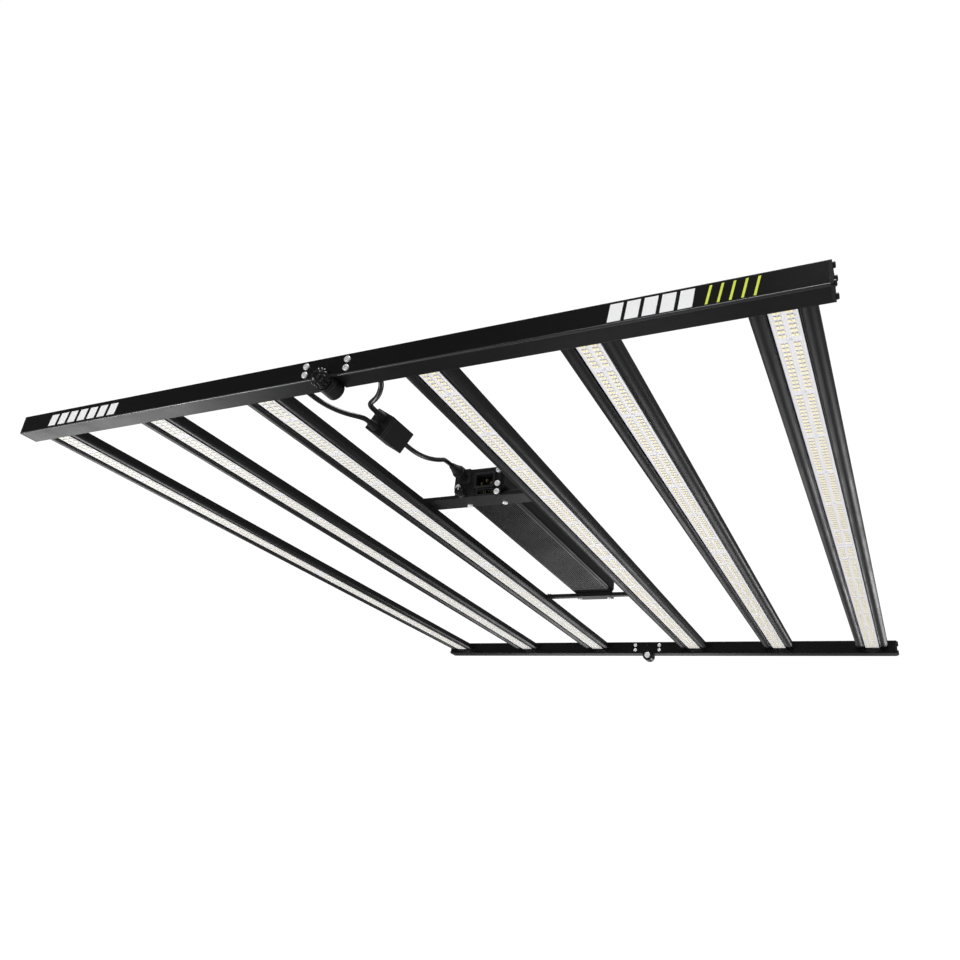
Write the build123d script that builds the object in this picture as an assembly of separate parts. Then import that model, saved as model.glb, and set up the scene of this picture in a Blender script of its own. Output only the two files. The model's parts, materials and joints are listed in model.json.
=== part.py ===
from build123d import *
import math
import os

# A folding LED grow light that hangs level over plants: two side rails, each hinged in the
# middle, carry six LED bars, and a slim driver lies across the middle on two cross brackets.
# Millimetres. +X runs along the rails to the right, +Y along the bars from the near rail to
# the far rail, +Z up. The origin is the middle of the rails' top plane, where it is hung.

# --- overall sizes -------------------------------------------------------------------------
overall_x = 900.0           # along the rails, over the end caps
overall_y = 1115.0          # along the bars, over the rails
rail_size = 23.0            # the rails' square section
rail_wall = 1.8
rail_edge = 1.2             # radius of the rails' long edges
hinge_gap = 0.6             # between the two halves of a rail

# --- rail ends -----------------------------------------------------------------------------
cap_plate = 2.0
cap_plug = 12.0
cap_clearance = 0.2
boss_inset = 3.4            # from the rail's outside to a screw boss's centre
boss_radius = 2.8
screw_radius = 1.3
screw_head_radius = 2.6
screw_head_height = 2.2
screw_length = 12.0
thread_clearance = 0.05

# --- LED bars ------------------------------------------------------------------------------
bar_width = 51.0
bar_height = 10.2
bar_rise = 7.5              # the bars' underside above the rails' underside
first_bar_left = 103.0      # from the hinge line to the middle of the nearest bar
first_bar_right = 94.5
end_overhang_left = 31.0    # from the middle of the last bar to the end of the rail
end_overhang_right = 39.5
bar_wall = 1.5
bar_web_low = 3.2           # the web's underside above the bar's underside
bar_web = 1.9
flange_outer = 1.6          # how far the flange's outer edge lifts
flange_inner = 14.6
flange_bead = 0.7           # radius of the bead beside the recess
recess_half = 12.4
fin_thickness = 1.2
fin_places = (3.0, 14.0)
skin_inner = 18.0           # the closed hollow at each side starts here
port_place = 9.0
port_radius = 2.4
port_height = 6.4           # above the bar's underside

# --- LED boards ----------------------------------------------------------------------------
boards_per_bar = 2
board_width = 22.3
board_thickness = 1.6
board_end_gap = 2.0
board_split = 1.0
led_band = 15.4             # the width that the LED columns take up
led_height = 0.7
board_screws_per_board = 6
board_screw_margin = 50.0   # from a board's end to its first screw
board_screw_radius = 1.2
board_screw_head = 2.0
board_screw_head_height = 0.6
board_screw_length = 3.0

# --- hinge ---------------------------------------------------------------------------------
pivot_drop = 3.0            # the pivot below the rails' underside
lug_radius = 10.0
lug_clearance = 0.8
block_length = 33.0
block_clearance = 0.2
tongue_width = 9.6
tongue_clearance = 0.3
pin_radius = 4.0
pin_clearance = 0.05
pin_head_radius = 5.6
pin_head = 2.6
hinge_screw_place = 24.4
hinge_screw_spacing = 9.3
hinge_screw_radius = 2.5
hinge_screw_head_radius = 3.3
hinge_screw_head = 1.9
hinge_screw_depth = 5.0
knob_radius = 9.7
knob_thickness = 11.0
knob_flutes = 12
knob_stud_radius = 2.5
knob_stud = 7.0
nut_radius = 6.0
nut_height = 5.0

# --- hanging holes -------------------------------------------------------------------------
hang_hole_radius = 3.25
hang_spacing_x = 700.0

# --- driver --------------------------------------------------------------------------------
driver_width = 72.0
driver_height = 30.0
driver_length = 440.0
driver_middle_y = -12.0
driver_edge = 6.0
driver_wall = 2.2
driver_base = 3.8           # the ribbed underside is thicker
driver_cap = 22.0
cap_wall = 3.0
cap_screw_inset = 7.2
rib_pitch = 3.2
rib_groove = 1.6
rib_depth = 1.5
rib_count = 18
top_groove_depth = 0.9
ear_length = 16.0
ear_thickness = 3.0
driver_board_thickness = 1.6
driver_board_margin = 2.0
transformer_size = (34.0, 42.0, 19.0)
capacitor_radius = 7.0
capacitor_length = 34.0

# --- brackets ------------------------------------------------------------------------------
near_bracket_width = 29.0
near_bracket_thickness = 6.0
near_bracket_inset = 7.0    # from the driver's near face
bracket_edge = 1.0
far_bracket_width = 10.0
far_bracket_thickness = 6.0
far_bracket_lap = 3.0       # how far it reaches under the driver
far_plate_width = 19.0
far_plate_length = 62.0
bracket_short = 12.0        # how far they stop short of the right bar's outer edge
driver_seat = 1.0           # thickness of the pads between brackets and driver
driver_screw_radius = 2.0
driver_screw_head_radius = 3.6
driver_screw_head = 2.4
near_screw_spacing = 50.8
near_screw_inset = 7.0      # from the bracket's far edge
far_screw_spacing = 52.0
screw_hole_clearance = 0.15

# --- connector plate and what it carries ---------------------------------------------------
plate_width = 64.0
plate_height = 38.0
plate_thickness = 3.0
plate_drop = 10.2           # how far it hangs below the driver's underside
plate_screw_inset = 3.9
socket_x = -21.0
socket_z = 19.0             # above the driver's underside
socket_flange = 20.0
socket_flange_thickness = 2.0
socket_barrel_radius = 6.5
socket_barrel = 12.0
socket_tail = 8.0
plug_gap = 0.4
plug_radius = 6.4
plug_body = 10.0
plug_taper = 11.0
plug_mouth_radius = 3.6
ring_inner_radius = 6.6
ring_radius = 8.5
ring_length = 13.0
ring_flutes = 24
ring_start = 4.0            # from the socket's flange
dimmer_x = -21.0
dimmer_z = -5.7
dimmer_radius = 5.6
dimmer_length = 12.0
dimmer_shaft_radius = 3.0
dimmer_shaft = 7.0
module_depth = 5.5
module_clearance = 0.15
port_x = (5.5, 17.5)
port_z = -5.2
port_mouth = (9.2, 6.4)
port_depth = 6.5
port_rim = 1.0
inlet_x = 9.8
inlet_z = 11.0
inlet_flange = (28.6, 21.0)
inlet_flange_thickness = 2.4
inlet_mouth = (24.0, 16.0)
inlet_depth = 16.0
inlet_pin = (4.0, 9.5, 2.0)
inlet_pin_spacing = 14.0
inlet_body_wall = 1.4

# --- splitter and cables -------------------------------------------------------------------
splitter_side = 26.0
splitter_length = 41.0
splitter_lid = 5.0
splitter_wall = 2.0
splitter_edge = 1.0
splitter_x = -8.0
splitter_z = -13.5
splitter_from_rail = 105.3  # the splitter's middle from the near rail's inner face
splitter_roll = 32.7
gland_length = 12.0
gland_radius = 5.0
gland_mouth_radius = 3.4
gland_spread = 6.5
cable_diameter = 5.5
grommet_left_x = 48.0
grommet_right_x = 40.0
grommet_reach = 6.0
grommet_flange_radius = 5.5
grommet_flange = 1.6
grommet_radius = 4.0
grommet_clearance = 0.1
harness_radius = 1.8
harness_from_wall = 6.4     # the trunk's middle from the near rail's inner face
harness_above_bar = 7.2     # above the bar's underside
harness_hole_clearance = 0.4
harness_into_bar = 8.0

# The free cables' corners. The driver cable's are shares of the way from the splitter's gland
# to the plug, as (across, along, up); the others' are (x, z, distance from the rail's face),
# between a straight stretch out of the gland and one into the grommet.
gland_lead = 7.0
grommet_lead = 5.7
driver_cable_way = (
    (0.0, 0.15, 0.0),
    (0.08, 0.36, 0.16),
    (0.30, 0.56, 0.44),
    (0.68, 0.74, 0.76),
    (1.0, 0.86, 1.0),
)
left_cable_way = (
    (-13.2, -19.7, 58.8),
    (-16.6, -20.5, 52.3),
    (-21.4, -20.9, 46.5),
    (-27.0, -20.8, 41.2),
    (-32.8, -20.0, 36.3),
    (-38.5, -18.3, 31.1),
    (-43.3, -15.8, 25.3),
    (-46.6, -13.1, 18.8),
)
right_cable_way = (
    (-2.1, -8.6, 58.2),
    (2.5, -10.0, 51.5),
    (8.6, -11.8, 46.1),
    (15.3, -13.4, 41.5),
    (22.3, -14.6, 37.3),
    (29.0, -15.0, 32.6),
    (34.5, -14.5, 26.6),
    (38.3, -13.2, 19.5),
)

# --- places worked out from the sizes ------------------------------------------------------
half_x = overall_x / 2
half_y = overall_y / 2
rail_middle = half_y - rail_size / 2
rail_inner = half_y - rail_size
rail_low = -rail_size
rail_mid_z = -rail_size / 2
cavity = rail_size - 2 * rail_wall
rail_end = half_x - cap_plate
bar_low = rail_low + bar_rise
bar_top = bar_low + bar_height
bar_length = 2 * rail_inner
web_low = bar_low + bar_web_low
web_top = web_low + bar_web
board_low = web_low - board_thickness
led_low = board_low - led_height
pitch_left = (half_x - end_overhang_left - first_bar_left) / 2
pitch_right = (half_x - end_overhang_right - first_bar_right) / 2
bars_left = [-first_bar_left - n * pitch_left for n in (2, 1, 0)]
bars_right = [first_bar_right + n * pitch_right for n in (0, 1, 2)]
pivot_z = rail_low - pivot_drop
notch_radius = lug_radius + lug_clearance
block_side = cavity - 2 * block_clearance
driver_near = driver_middle_y - driver_length / 2
driver_far = driver_middle_y + driver_length / 2
near_bracket_y = driver_near + near_bracket_inset
far_bracket_y = driver_far - far_bracket_lap
driver_low = bar_top + near_bracket_thickness + driver_seat
driver_top = driver_low + driver_height
driver_floor = driver_low + driver_base
plate_front = driver_near - plate_thickness
plate_low = driver_low - plate_drop
near_screw_y = near_bracket_y + near_bracket_width - near_screw_inset
far_screw_y = driver_far + ear_length / 2 + 1.0
splitter_y = -rail_inner + splitter_from_rail
grommet_z = rail_mid_z
harness_y = -rail_inner - harness_from_wall
harness_z = bar_low + harness_above_bar


# --- shared shapes -------------------------------------------------------------------------
def block(x0, x1, y0, y1, z0, z1):
    """A box from its two corners."""
    size = Box(x1 - x0, y1 - y0, z1 - z0)
    return Pos((x0 + x1) / 2, (y0 + y1) / 2, (z0 + z1) / 2) * size


def rod_x(x0, x1, y, z, radius):
    return Pos((x0 + x1) / 2, y, z) * Rot(0, 90, 0) * Cylinder(radius, x1 - x0)


def rod_y(x, y0, y1, z, radius):
    return Pos(x, (y0 + y1) / 2, z) * Rot(90, 0, 0) * Cylinder(radius, y1 - y0)


def rod_z(x, y, z0, z1, radius):
    return Pos(x, y, (z0 + z1) / 2) * Cylinder(radius, z1 - z0)


def cone_y(x, y0, y1, z, radius0, radius1):
    """A cone along Y, radius0 at y0 and radius1 at y1, with y0 below y1."""
    return Pos(x, (y0 + y1) / 2, z) * Rot(-90, 0, 0) * Cone(radius0, radius1, y1 - y0)


def rounded_tube_y(width, height, edge, y0, y1, z_low):
    """A bar of rounded rectangular section along Y, standing on z_low."""
    section = RectangleRounded(width, height, edge)
    bar = extrude(Plane.XZ * section, amount=(y1 - y0) / 2, both=True)
    return Pos(0, (y0 + y1) / 2, z_low + height / 2) * bar


def cap_head_screw(radius, head_radius, head, length):
    """A screw that points along -Z, with the underside of its head at the origin."""
    shank = Pos(0, 0, -length / 2) * Cylinder(radius, length)
    top = Pos(0, 0, head / 2) * Cylinder(head_radius, head)
    top = fillet(top.edges().group_by(Axis.Z)[-1], head * 0.45)
    socket = Pos(0, 0, head * 0.75) * extrude(RegularPolygon(head_radius * 0.5, 6), head)
    return shank + top - socket


def sunk(screw, place, direction):
    """The screw moved so that its head's underside is at place and its tip points along direction."""
    plane = Plane(origin=place, z_dir=-Vector(*direction))
    return plane.location * screw


def together(shapes):
    return Compound(children=[s.clean() if hasattr(s, "clean") else s for s in shapes])


def save(shape, name):
    os.makedirs("parts", exist_ok=True)
    export_step(shape, f"parts/{name}.step")


# --- rails ---------------------------------------------------------------------------------
def rail_corners():
    """The middles of the four screw bosses in a rail's section, as (y, z) from the rail's middle."""
    reach = rail_size / 2 - boss_inset
    return [(y, z) for y in (-reach, reach) for z in (-reach, reach)]


def rail_half(side, y_middle):
    """Half of a rail: side is -1 for the left half and 1 for the right half."""
    x0, x1 = sorted((side * hinge_gap / 2, side * rail_end))
    outside = block(x0, x1, y_middle - rail_size / 2, y_middle + rail_size / 2, rail_low, 0)
    outside = fillet(outside.edges().filter_by(Axis.X), rail_edge)
    inside = block(x0 - 1, x1 + 1, y_middle - cavity / 2, y_middle + cavity / 2,
                   rail_mid_z - cavity / 2, rail_mid_z + cavity / 2)
    rail = outside - inside
    hinge_zone = side * (block_length + 2)
    b0, b1 = sorted((hinge_zone, side * rail_end))
    for y, z in rail_corners():
        boss = rod_x(b0, b1, y_middle + y, rail_mid_z + z, boss_radius) & outside
        rail = rail + boss
    for y, z in rail_corners():
        rail = rail - rod_x(b0 - 1, b1 + 1, y_middle + y, rail_mid_z + z,
                            screw_radius + thread_clearance)
    rail = rail - rod_y(0, y_middle - rail_size, y_middle + rail_size, pivot_z, notch_radius)
    rail = rail - rod_z(side * hang_spacing_x / 2, y_middle, -rail_wall - 1, 1, hang_hole_radius)
    for z in hinge_screw_heights():
        rail = rail - rod_y(side * hinge_screw_place, y_middle - rail_size,
                            y_middle + rail_size, z, hinge_screw_radius + thread_clearance)
    rail = rail - bar_screw_holes(side, y_middle)
    if y_middle < 0:
        rail = rail - grommet_hole(side) - harness_holes(side)
    return rail


def bars_of(side):
    return bars_left if side < 0 else bars_right


def inner_face(y_middle):
    """The Y of a rail's inner face, and the direction from it towards the rail's middle."""
    toward = math.copysign(1, y_middle)
    return toward * rail_inner, toward


def bar_screw_places(side, y_middle):
    """Where the screws that hold the bars' ends pass the inside of the rail's inner wall."""
    face, toward = inner_face(y_middle)
    y = face + toward * rail_wall
    z = bar_low + port_height
    return [(x + dx, y, z) for x in bars_of(side) for dx in (-port_place, port_place)]


def bar_screw_holes(side, y_middle):
    radius = screw_radius + thread_clearance
    face, toward = inner_face(y_middle)
    y0, y1 = sorted((face - toward, face + toward * (rail_wall + 0.5)))
    return [rod_y(x, y0, y1, z, radius) for x, _, z in bar_screw_places(side, y_middle)]


def grommet_hole(side):
    radius = grommet_radius + grommet_clearance
    return rod_y(grommet_middle(side), -rail_inner - rail_wall - 0.5, -rail_inner + 1, grommet_z, radius)


def harness_holes(side):
    radius = harness_radius + harness_hole_clearance
    return [rod_y(x, -rail_inner - rail_wall - 0.5, -rail_inner + 1, harness_z, radius)
            for x in bars_of(side)]


def end_cap(side, y_middle):
    """A cap plate with a plug that fits between the rail's screw bosses."""
    x0, x1 = sorted((side * rail_end, side * half_x))
    cap = block(x0, x1, y_middle - rail_size / 2, y_middle + rail_size / 2, rail_low, 0)
    cap = fillet(cap.edges().filter_by(Axis.X), rail_edge)
    p0, p1 = sorted((side * rail_end, side * (rail_end - cap_plug)))
    wide = cavity / 2 - cap_clearance
    narrow = rail_size / 2 - boss_inset - boss_radius - cap_clearance
    for a, b in ((wide, narrow), (narrow, wide)):
        cap = cap + block(p0, p1, y_middle - a, y_middle + a, rail_mid_z - b, rail_mid_z + b)
    for y, z in rail_corners():
        cap = cap - rod_x(x0 - 1, x1 + 1, y_middle + y, rail_mid_z + z,
                          screw_radius + screw_hole_clearance)
    return cap


def frame_screws(side):
    """The identical screws of one half: in the end caps and in the bars' ends."""
    screw = cap_head_screw(screw_radius, screw_head_radius, screw_head_height, screw_length)
    screws = []
    for y_middle in (-rail_middle, rail_middle):
        for y, z in rail_corners():
            place = (side * half_x, y_middle + y, rail_mid_z + z)
            screws.append(sunk(screw, place, (-side, 0, 0)))
        _, toward = inner_face(y_middle)
        for place in bar_screw_places(side, y_middle):
            screws.append(sunk(screw, place, (0, -toward, 0)))
    return together(screws)


# --- LED bars ------------------------------------------------------------------------------
def flange_section():
    """The underside flange at +X, from the recess to the bar's side, with its bead."""
    z0 = bar_low
    side_x = bar_width / 2
    top = web_low + bar_web
    outline = [
        Line((recess_half, z0 + 0.4), (flange_inner, z0 + 0.9)),
        ThreePointArc((flange_inner, z0 + 0.9), ((flange_inner + side_x) / 2, z0),
                      (side_x, z0 + flange_outer)),
        Line((side_x, z0 + flange_outer), (side_x, bar_top)),
        Line((side_x, bar_top), (skin_inner, bar_top)),
        Line((skin_inner, bar_top), (skin_inner, top)),
        Line((skin_inner, top), (recess_half, top)),
        Line((recess_half, top), (recess_half, z0 + 0.4)),
    ]
    section = make_face(outline)
    hollow_low = z0 + flange_outer + bar_wall
    hollow = Rectangle(side_x - skin_inner - 2 * bar_wall, bar_top - bar_wall - hollow_low)
    middle = ((side_x + skin_inner) / 2, (bar_top - bar_wall + hollow_low) / 2)
    bead = Pos(recess_half + flange_bead, z0 + flange_bead) * Circle(flange_bead)
    return section + bead - Pos(*middle) * hollow


def bar_section():
    """The whole section of an LED bar, symmetric about X = 0."""
    half = flange_section()
    section = half + mirror(half, about=Plane.YZ)
    section = section + Pos(0, (web_low + web_top) / 2) * Rectangle(2 * recess_half, bar_web)
    fin_height = bar_top - web_top
    for x in fin_places:
        for side in (-1, 1):
            fin = Rectangle(fin_thickness, fin_height)
            section = section + Pos(side * x, web_top + fin_height / 2) * fin
    for side in (-1, 1):
        port = Pos(side * port_place, bar_low + port_height)
        section = section + port * Circle(port_radius)
        section = section - port * Circle(screw_radius + thread_clearance)
    return section


def led_bar(x):
    bar = extrude(Plane.XZ * bar_section(), amount=bar_length / 2, both=True)
    for y, _ in board_screw_places():
        bar = bar - rod_z(0, y, web_low - 1, web_top + 1, board_screw_radius + thread_clearance)
    bar = Pos(x, 0, 0) * bar
    if x == -first_bar_left:
        for place_x, place_y, _ in bracket_fixings():
            bar = bar - rod_z(place_x, place_y, bar_top - bar_wall - 0.5, bar_top + 1,
                              driver_screw_radius + thread_clearance)
    return bar


def board_spans():
    """The Y stretch of each LED board on a bar."""
    room = bar_length - 2 * board_end_gap - (boards_per_bar - 1) * board_split
    length = room / boards_per_bar
    starts = [-bar_length / 2 + board_end_gap + n * (length + board_split) for n in range(boards_per_bar)]
    return [(y, y + length) for y in starts]


def board_screw_places():
    """The board screws' Y places on a bar, each with its board's number."""
    places = []
    for number, (y0, y1) in enumerate(board_spans()):
        step = (y1 - y0 - 2 * board_screw_margin) / (board_screws_per_board - 1)
        places += [(y0 + board_screw_margin + n * step, number) for n in range(board_screws_per_board)]
    return places


def led_board(x):
    boards = []
    for y0, y1 in board_spans():
        board = block(-board_width / 2, board_width / 2, y0, y1, board_low, web_low)
        for y, _ in board_screw_places():
            if y0 < y < y1:
                board = board - rod_z(0, y, board_low - 1, web_low + 1,
                                      board_screw_radius + screw_hole_clearance)
        boards.append(Pos(x, 0, 0) * board)
    return together(boards)


def led_rows(bars):
    """Each board's LEDs, as one band between the board's screws on each side of its middle."""
    bands = []
    for x in bars:
        for y0, y1 in board_spans():
            for side in (-1, 1):
                inner = board_screw_head + 0.3
                x0, x1 = sorted((side * inner, side * led_band / 2))
                bands.append(block(x + x0, x + x1, y0 + 3, y1 - 3, led_low, board_low))
    return together(bands)


def board_screws(bars):
    screw = cap_head_screw(board_screw_radius, board_screw_head, board_screw_head_height,
                           board_screw_length)
    places = [(x, y, board_low) for x in bars for y, _ in board_screw_places()]
    return together([sunk(screw, place, (0, 0, 1)) for place in places])


# --- hinge ---------------------------------------------------------------------------------
def hinge_screw_heights():
    return [rail_mid_z - hinge_screw_spacing / 2, rail_mid_z + hinge_screw_spacing / 2]


def hinge_block(side, y_middle, lugs):
    """A block inside the rail's end, with lugs down to the pivot.

    lugs lists the (low, high) Y stretches of its own lugs from the rail's middle. Between
    them the block is cut back round the pivot to clear the other half's lugs.
    """
    x0, x1 = sorted((side * hinge_gap / 2, side * block_length))
    half = block_side / 2
    body = block(x0, x1, y_middle - half, y_middle + half, rail_mid_z - half, rail_mid_z + half)
    body = body - rod_y(0, y_middle - rail_size, y_middle + rail_size, pivot_z, notch_radius)
    for low, high in lugs:
        y0, y1 = y_middle + low, y_middle + high
        root = block(x0, x1, y0, y1, rail_mid_z - half, rail_mid_z)
        body = body + (root & rod_y(0, y0, y1, pivot_z, notch_radius + 1))
        body = body + rod_y(0, y0, y1, pivot_z, lug_radius)
    return body


def drill_hinge(body, side, y_middle, bore):
    """The pin's hole and the side screws' blind holes in a hinge block."""
    body = body - rod_y(0, y_middle - rail_size, y_middle + rail_size, pivot_z, bore)
    half = block_side / 2
    depth = hinge_screw_depth + 1
    for z in hinge_screw_heights():
        for y0, y1 in ((-half - 1, -half + depth), (half - depth, half + 1)):
            body = body - rod_y(side * hinge_screw_place, y_middle + y0, y_middle + y1, z,
                                hinge_screw_radius + thread_clearance)
    return body


def hinge_fork(y_middle):
    gap = tongue_width / 2 + tongue_clearance
    half = block_side / 2
    body = hinge_block(-1, y_middle, ((-half, -gap), (gap, half)))
    return drill_hinge(body, -1, y_middle, pin_radius + pin_clearance / 2)


def hinge_tongue(y_middle):
    body = hinge_block(1, y_middle, ((-tongue_width / 2, tongue_width / 2),))
    return drill_hinge(body, 1, y_middle, pin_radius + pin_clearance)


def pin_span(y_middle):
    """The pin's shank, from the fork's outer face to its inner face."""
    return y_middle - block_side / 2, y_middle + block_side / 2


def hinge_pin_near():
    """A pin whose head is on the rail's inner side, tapped at its outer end for the knob's stud."""
    y0, y1 = pin_span(-rail_middle)
    pin = rod_y(0, y0, y1, pivot_z, pin_radius)
    head = rod_y(0, y1, y1 + pin_head, pivot_z, pin_head_radius)
    head = fillet(head.edges().group_by(Axis.Y)[-1], 1.0)
    hole = rod_y(0, y0 - 1, y0 + knob_stud + 1, pivot_z, knob_stud_radius + pin_clearance)
    return pin + head - hole


def hinge_pin_far():
    """A pin whose head is on the rail's inner side, with a threaded end for its nut."""
    y0, y1 = pin_span(rail_middle)
    pin = rod_y(0, y0, y1 + nut_height, pivot_z, pin_radius)
    head = rod_y(0, y0 - pin_head, y0, pivot_z, pin_head_radius)
    head = fillet(head.edges().group_by(Axis.Y)[0], 1.0)
    return pin + head


def hinge_nut_far():
    _, y1 = pin_span(rail_middle)
    nut = extrude(Plane.XZ * RegularPolygon(nut_radius, 6), amount=nut_height / 2, both=True)
    nut = Pos(0, y1 + nut_height / 2, pivot_z) * nut
    return nut - rod_y(0, y1 - 1, y1 + nut_height + 1, pivot_z, pin_radius + thread_clearance)


def hinge_lock_knob():
    """A fluted knob on a stud, which clamps the near hinge."""
    y0, _ = pin_span(-rail_middle)
    back = y0 - 0.4
    front = back - knob_thickness
    knob = rod_y(0, front, back, pivot_z, knob_radius)
    knob = fillet(knob.edges().group_by(Axis.Y)[0], 2.2)
    for n in range(knob_flutes):
        turn = math.radians(360 * n / knob_flutes)
        reach = knob_radius + 1.0
        knob = knob - rod_y(reach * math.cos(turn), front - 1, back - 3.0,
                            pivot_z + reach * math.sin(turn), 1.8)
    return knob + rod_y(0, back, y0 + knob_stud, pivot_z, knob_stud_radius)


def hinge_screws(side):
    """The screws on both faces of both rails that hold one half's hinge blocks."""
    screw = cap_head_screw(hinge_screw_radius, hinge_screw_head_radius, hinge_screw_head,
                           rail_wall + hinge_screw_depth)
    screws = []
    for y_middle in (-rail_middle, rail_middle):
        for z in hinge_screw_heights():
            for face in (-1, 1):
                place = (side * hinge_screw_place, y_middle + face * rail_size / 2, z)
                screws.append(sunk(screw, place, (0, -face, 0)))
    return together(screws)


# --- driver --------------------------------------------------------------------------------
def driver_housing():
    """The driver's extruded case, ribbed lengthwise below and grooved above."""
    y0 = driver_near + driver_cap
    y1 = driver_far - driver_cap
    case = rounded_tube_y(driver_width, driver_height, driver_edge, y0, y1, driver_low)
    case = case - block(-driver_width / 2 + driver_wall, driver_width / 2 - driver_wall, y0 - 1, y1 + 1,
                        driver_floor, driver_top - driver_wall - top_groove_depth)
    for n in range(rib_count):
        x = (n - (rib_count - 1) / 2) * rib_pitch
        groove = Pos(x, (y0 + y1) / 2, 0) * Box(rib_groove, y1 - y0 + 2, 2 * rib_depth)
        case = case - Pos(0, 0, driver_low) * groove
    for n in range(-3, 4):
        groove = Box(rib_groove, y1 - y0 + 2, 2 * top_groove_depth)
        case = case - Pos(2 * n * rib_pitch, (y0 + y1) / 2, driver_top) * groove
    for x in (-near_screw_spacing / 2, near_screw_spacing / 2):
        case = case - rod_z(x, near_screw_y, driver_low - 1, driver_floor + 1,
                            driver_screw_radius + thread_clearance)
    return case


def cap_screw_places():
    """The (x, z) places of the four screws that hold each of the driver's end caps."""
    x = driver_width / 2 - driver_edge
    heights = (driver_low + cap_screw_inset, driver_top - cap_screw_inset)
    return [(sx * x, z) for sx in (-1, 1) for z in heights]


def driver_end_cap(y0, y1, wall_y0, wall_y1):
    """A cap shell from y0 to y1 whose end wall runs from wall_y0 to wall_y1."""
    cap = rounded_tube_y(driver_width, driver_height, driver_edge, y0, y1, driver_low)
    h0 = wall_y1 if wall_y0 <= y0 else y0 - 1
    h1 = y1 + 1 if wall_y0 <= y0 else wall_y0
    return cap - block(-driver_width / 2 + cap_wall, driver_width / 2 - cap_wall, h0, h1,
                       driver_floor, driver_top - cap_wall)


def driver_cap_near():
    y0, y1 = driver_near, driver_near + driver_cap
    cap = driver_end_cap(y0, y1, y0, y0 + cap_wall)
    socket = (driver_low + socket_z, socket_barrel_radius - 0.5 + screw_hole_clearance)
    cap = cap - rod_y(socket_x, y0 - 1, y0 + cap_wall + 1, *socket)
    w, h = (size / 2 + inlet_body_wall + screw_hole_clearance for size in inlet_mouth)
    z = driver_low + inlet_z
    cap = cap - block(inlet_x - w, inlet_x + w, y0 - 1, y0 + inlet_depth, z - h, z + h)
    for x, z in plate_screw_places():
        if z > driver_low:
            cap = cap - rod_y(x, y0 - 1, y0 + cap_wall + 1, z, driver_screw_radius + thread_clearance)
    return cap


def driver_cap_far():
    y0, y1 = driver_far - driver_cap, driver_far
    cap = driver_end_cap(y0, y1, y1 - cap_wall, y1)
    half = far_plate_length / 2
    cap = cap + block(-half, half, y1 - 2, y1 + ear_length, driver_low, driver_low + ear_thickness)
    for x in (-far_screw_spacing / 2, far_screw_spacing / 2):
        cap = cap - rod_z(x, far_screw_y, driver_low - 1, driver_low + ear_thickness + 1,
                          driver_screw_radius + thread_clearance)
    for x, z in cap_screw_places():
        cap = cap - rod_y(x, y1 - cap_wall - 1, y1 + 1, z, driver_screw_radius + thread_clearance)
    return cap


def driver_board():
    half = driver_width / 2 - driver_wall - driver_board_margin
    y0 = driver_near + driver_cap
    y1 = driver_far - driver_cap
    low = driver_floor
    return block(-half, half, y0, y1, low, low + driver_board_thickness)


def transformers():
    low = driver_floor + driver_board_thickness
    w, length, h = transformer_size
    places = (-110.0, 10.0, 120.0)
    made = []
    for y in places:
        core = block(-w / 2, w / 2, y - length / 2, y + length / 2, low, low + h)
        made.append(fillet(core.edges().filter_by(Axis.Z), 2.0))
    return together([Pos(0, driver_middle_y, 0) * core for core in made])


def capacitors():
    low = driver_floor + driver_board_thickness
    places = ((-18.0, -165.0), (18.0, -165.0), (0.0, -50.0), (-18.0, 65.0), (18.0, 65.0))
    cans = [rod_y(x, y - capacitor_length / 2, y + capacitor_length / 2, low + capacitor_radius,
                  capacitor_radius) for x, y in places]
    return together([Pos(0, driver_middle_y, 0) * can for can in cans])


def plate_screw_places():
    """The (x, z) places of the connector plate's four screws."""
    x = plate_width / 2 - plate_screw_inset
    low = plate_low + plate_screw_inset
    high = driver_low + driver_edge - 1.0
    return [(x, low), (x, high), (x, plate_low + plate_height - plate_screw_inset), (-x, high)]


def connector_plate():
    plate = block(-plate_width / 2, plate_width / 2, plate_front, driver_near, plate_low,
                  plate_low + plate_height)
    plate = fillet(plate.edges().filter_by(Axis.Y), 2.0)
    y0, y1 = plate_front - 1, driver_near + 1
    plate = plate - rod_y(socket_x, y0, y1, driver_low + socket_z,
                          socket_barrel_radius - 0.5 + screw_hole_clearance)
    plate = plate - rod_y(dimmer_x, y0, y1, driver_low + dimmer_z, dimmer_shaft_radius + 0.5)
    for x in port_x:
        w, h = (size / 2 + port_rim + module_clearance for size in port_mouth)
        z = driver_low + port_z
        plate = plate - block(x - w, x + w, y0, y1, z - h, z + h)
    w, h = (size / 2 + inlet_body_wall + screw_hole_clearance for size in inlet_mouth)
    z = driver_low + inlet_z
    plate = plate - block(inlet_x - w, inlet_x + w, y0, y1, z - h, z + h)
    for x, z in plate_screw_places():
        plate = plate - rod_y(x, y0, y1, z, driver_screw_radius + screw_hole_clearance)
    return plate


def output_socket():
    """The panel socket that the lamp cable screws on to."""
    z = driver_low + socket_z
    half = socket_flange / 2
    flange_front = plate_front - socket_flange_thickness
    flange = block(socket_x - half, socket_x + half, flange_front, plate_front, z - half, z + half)
    flange = fillet(flange.edges().filter_by(Axis.Y), 2.0)
    barrel = rod_y(socket_x, flange_front - socket_barrel, flange_front, z, socket_barrel_radius)
    tail = rod_y(socket_x, plate_front, plate_front + socket_tail, z, socket_barrel_radius - 0.5)
    return flange + barrel + tail


def plug_place():
    """The Y of the plug's face against the socket, and the axis height."""
    front = plate_front - socket_flange_thickness - socket_barrel - plug_gap
    return front, driver_low + socket_z


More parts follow.
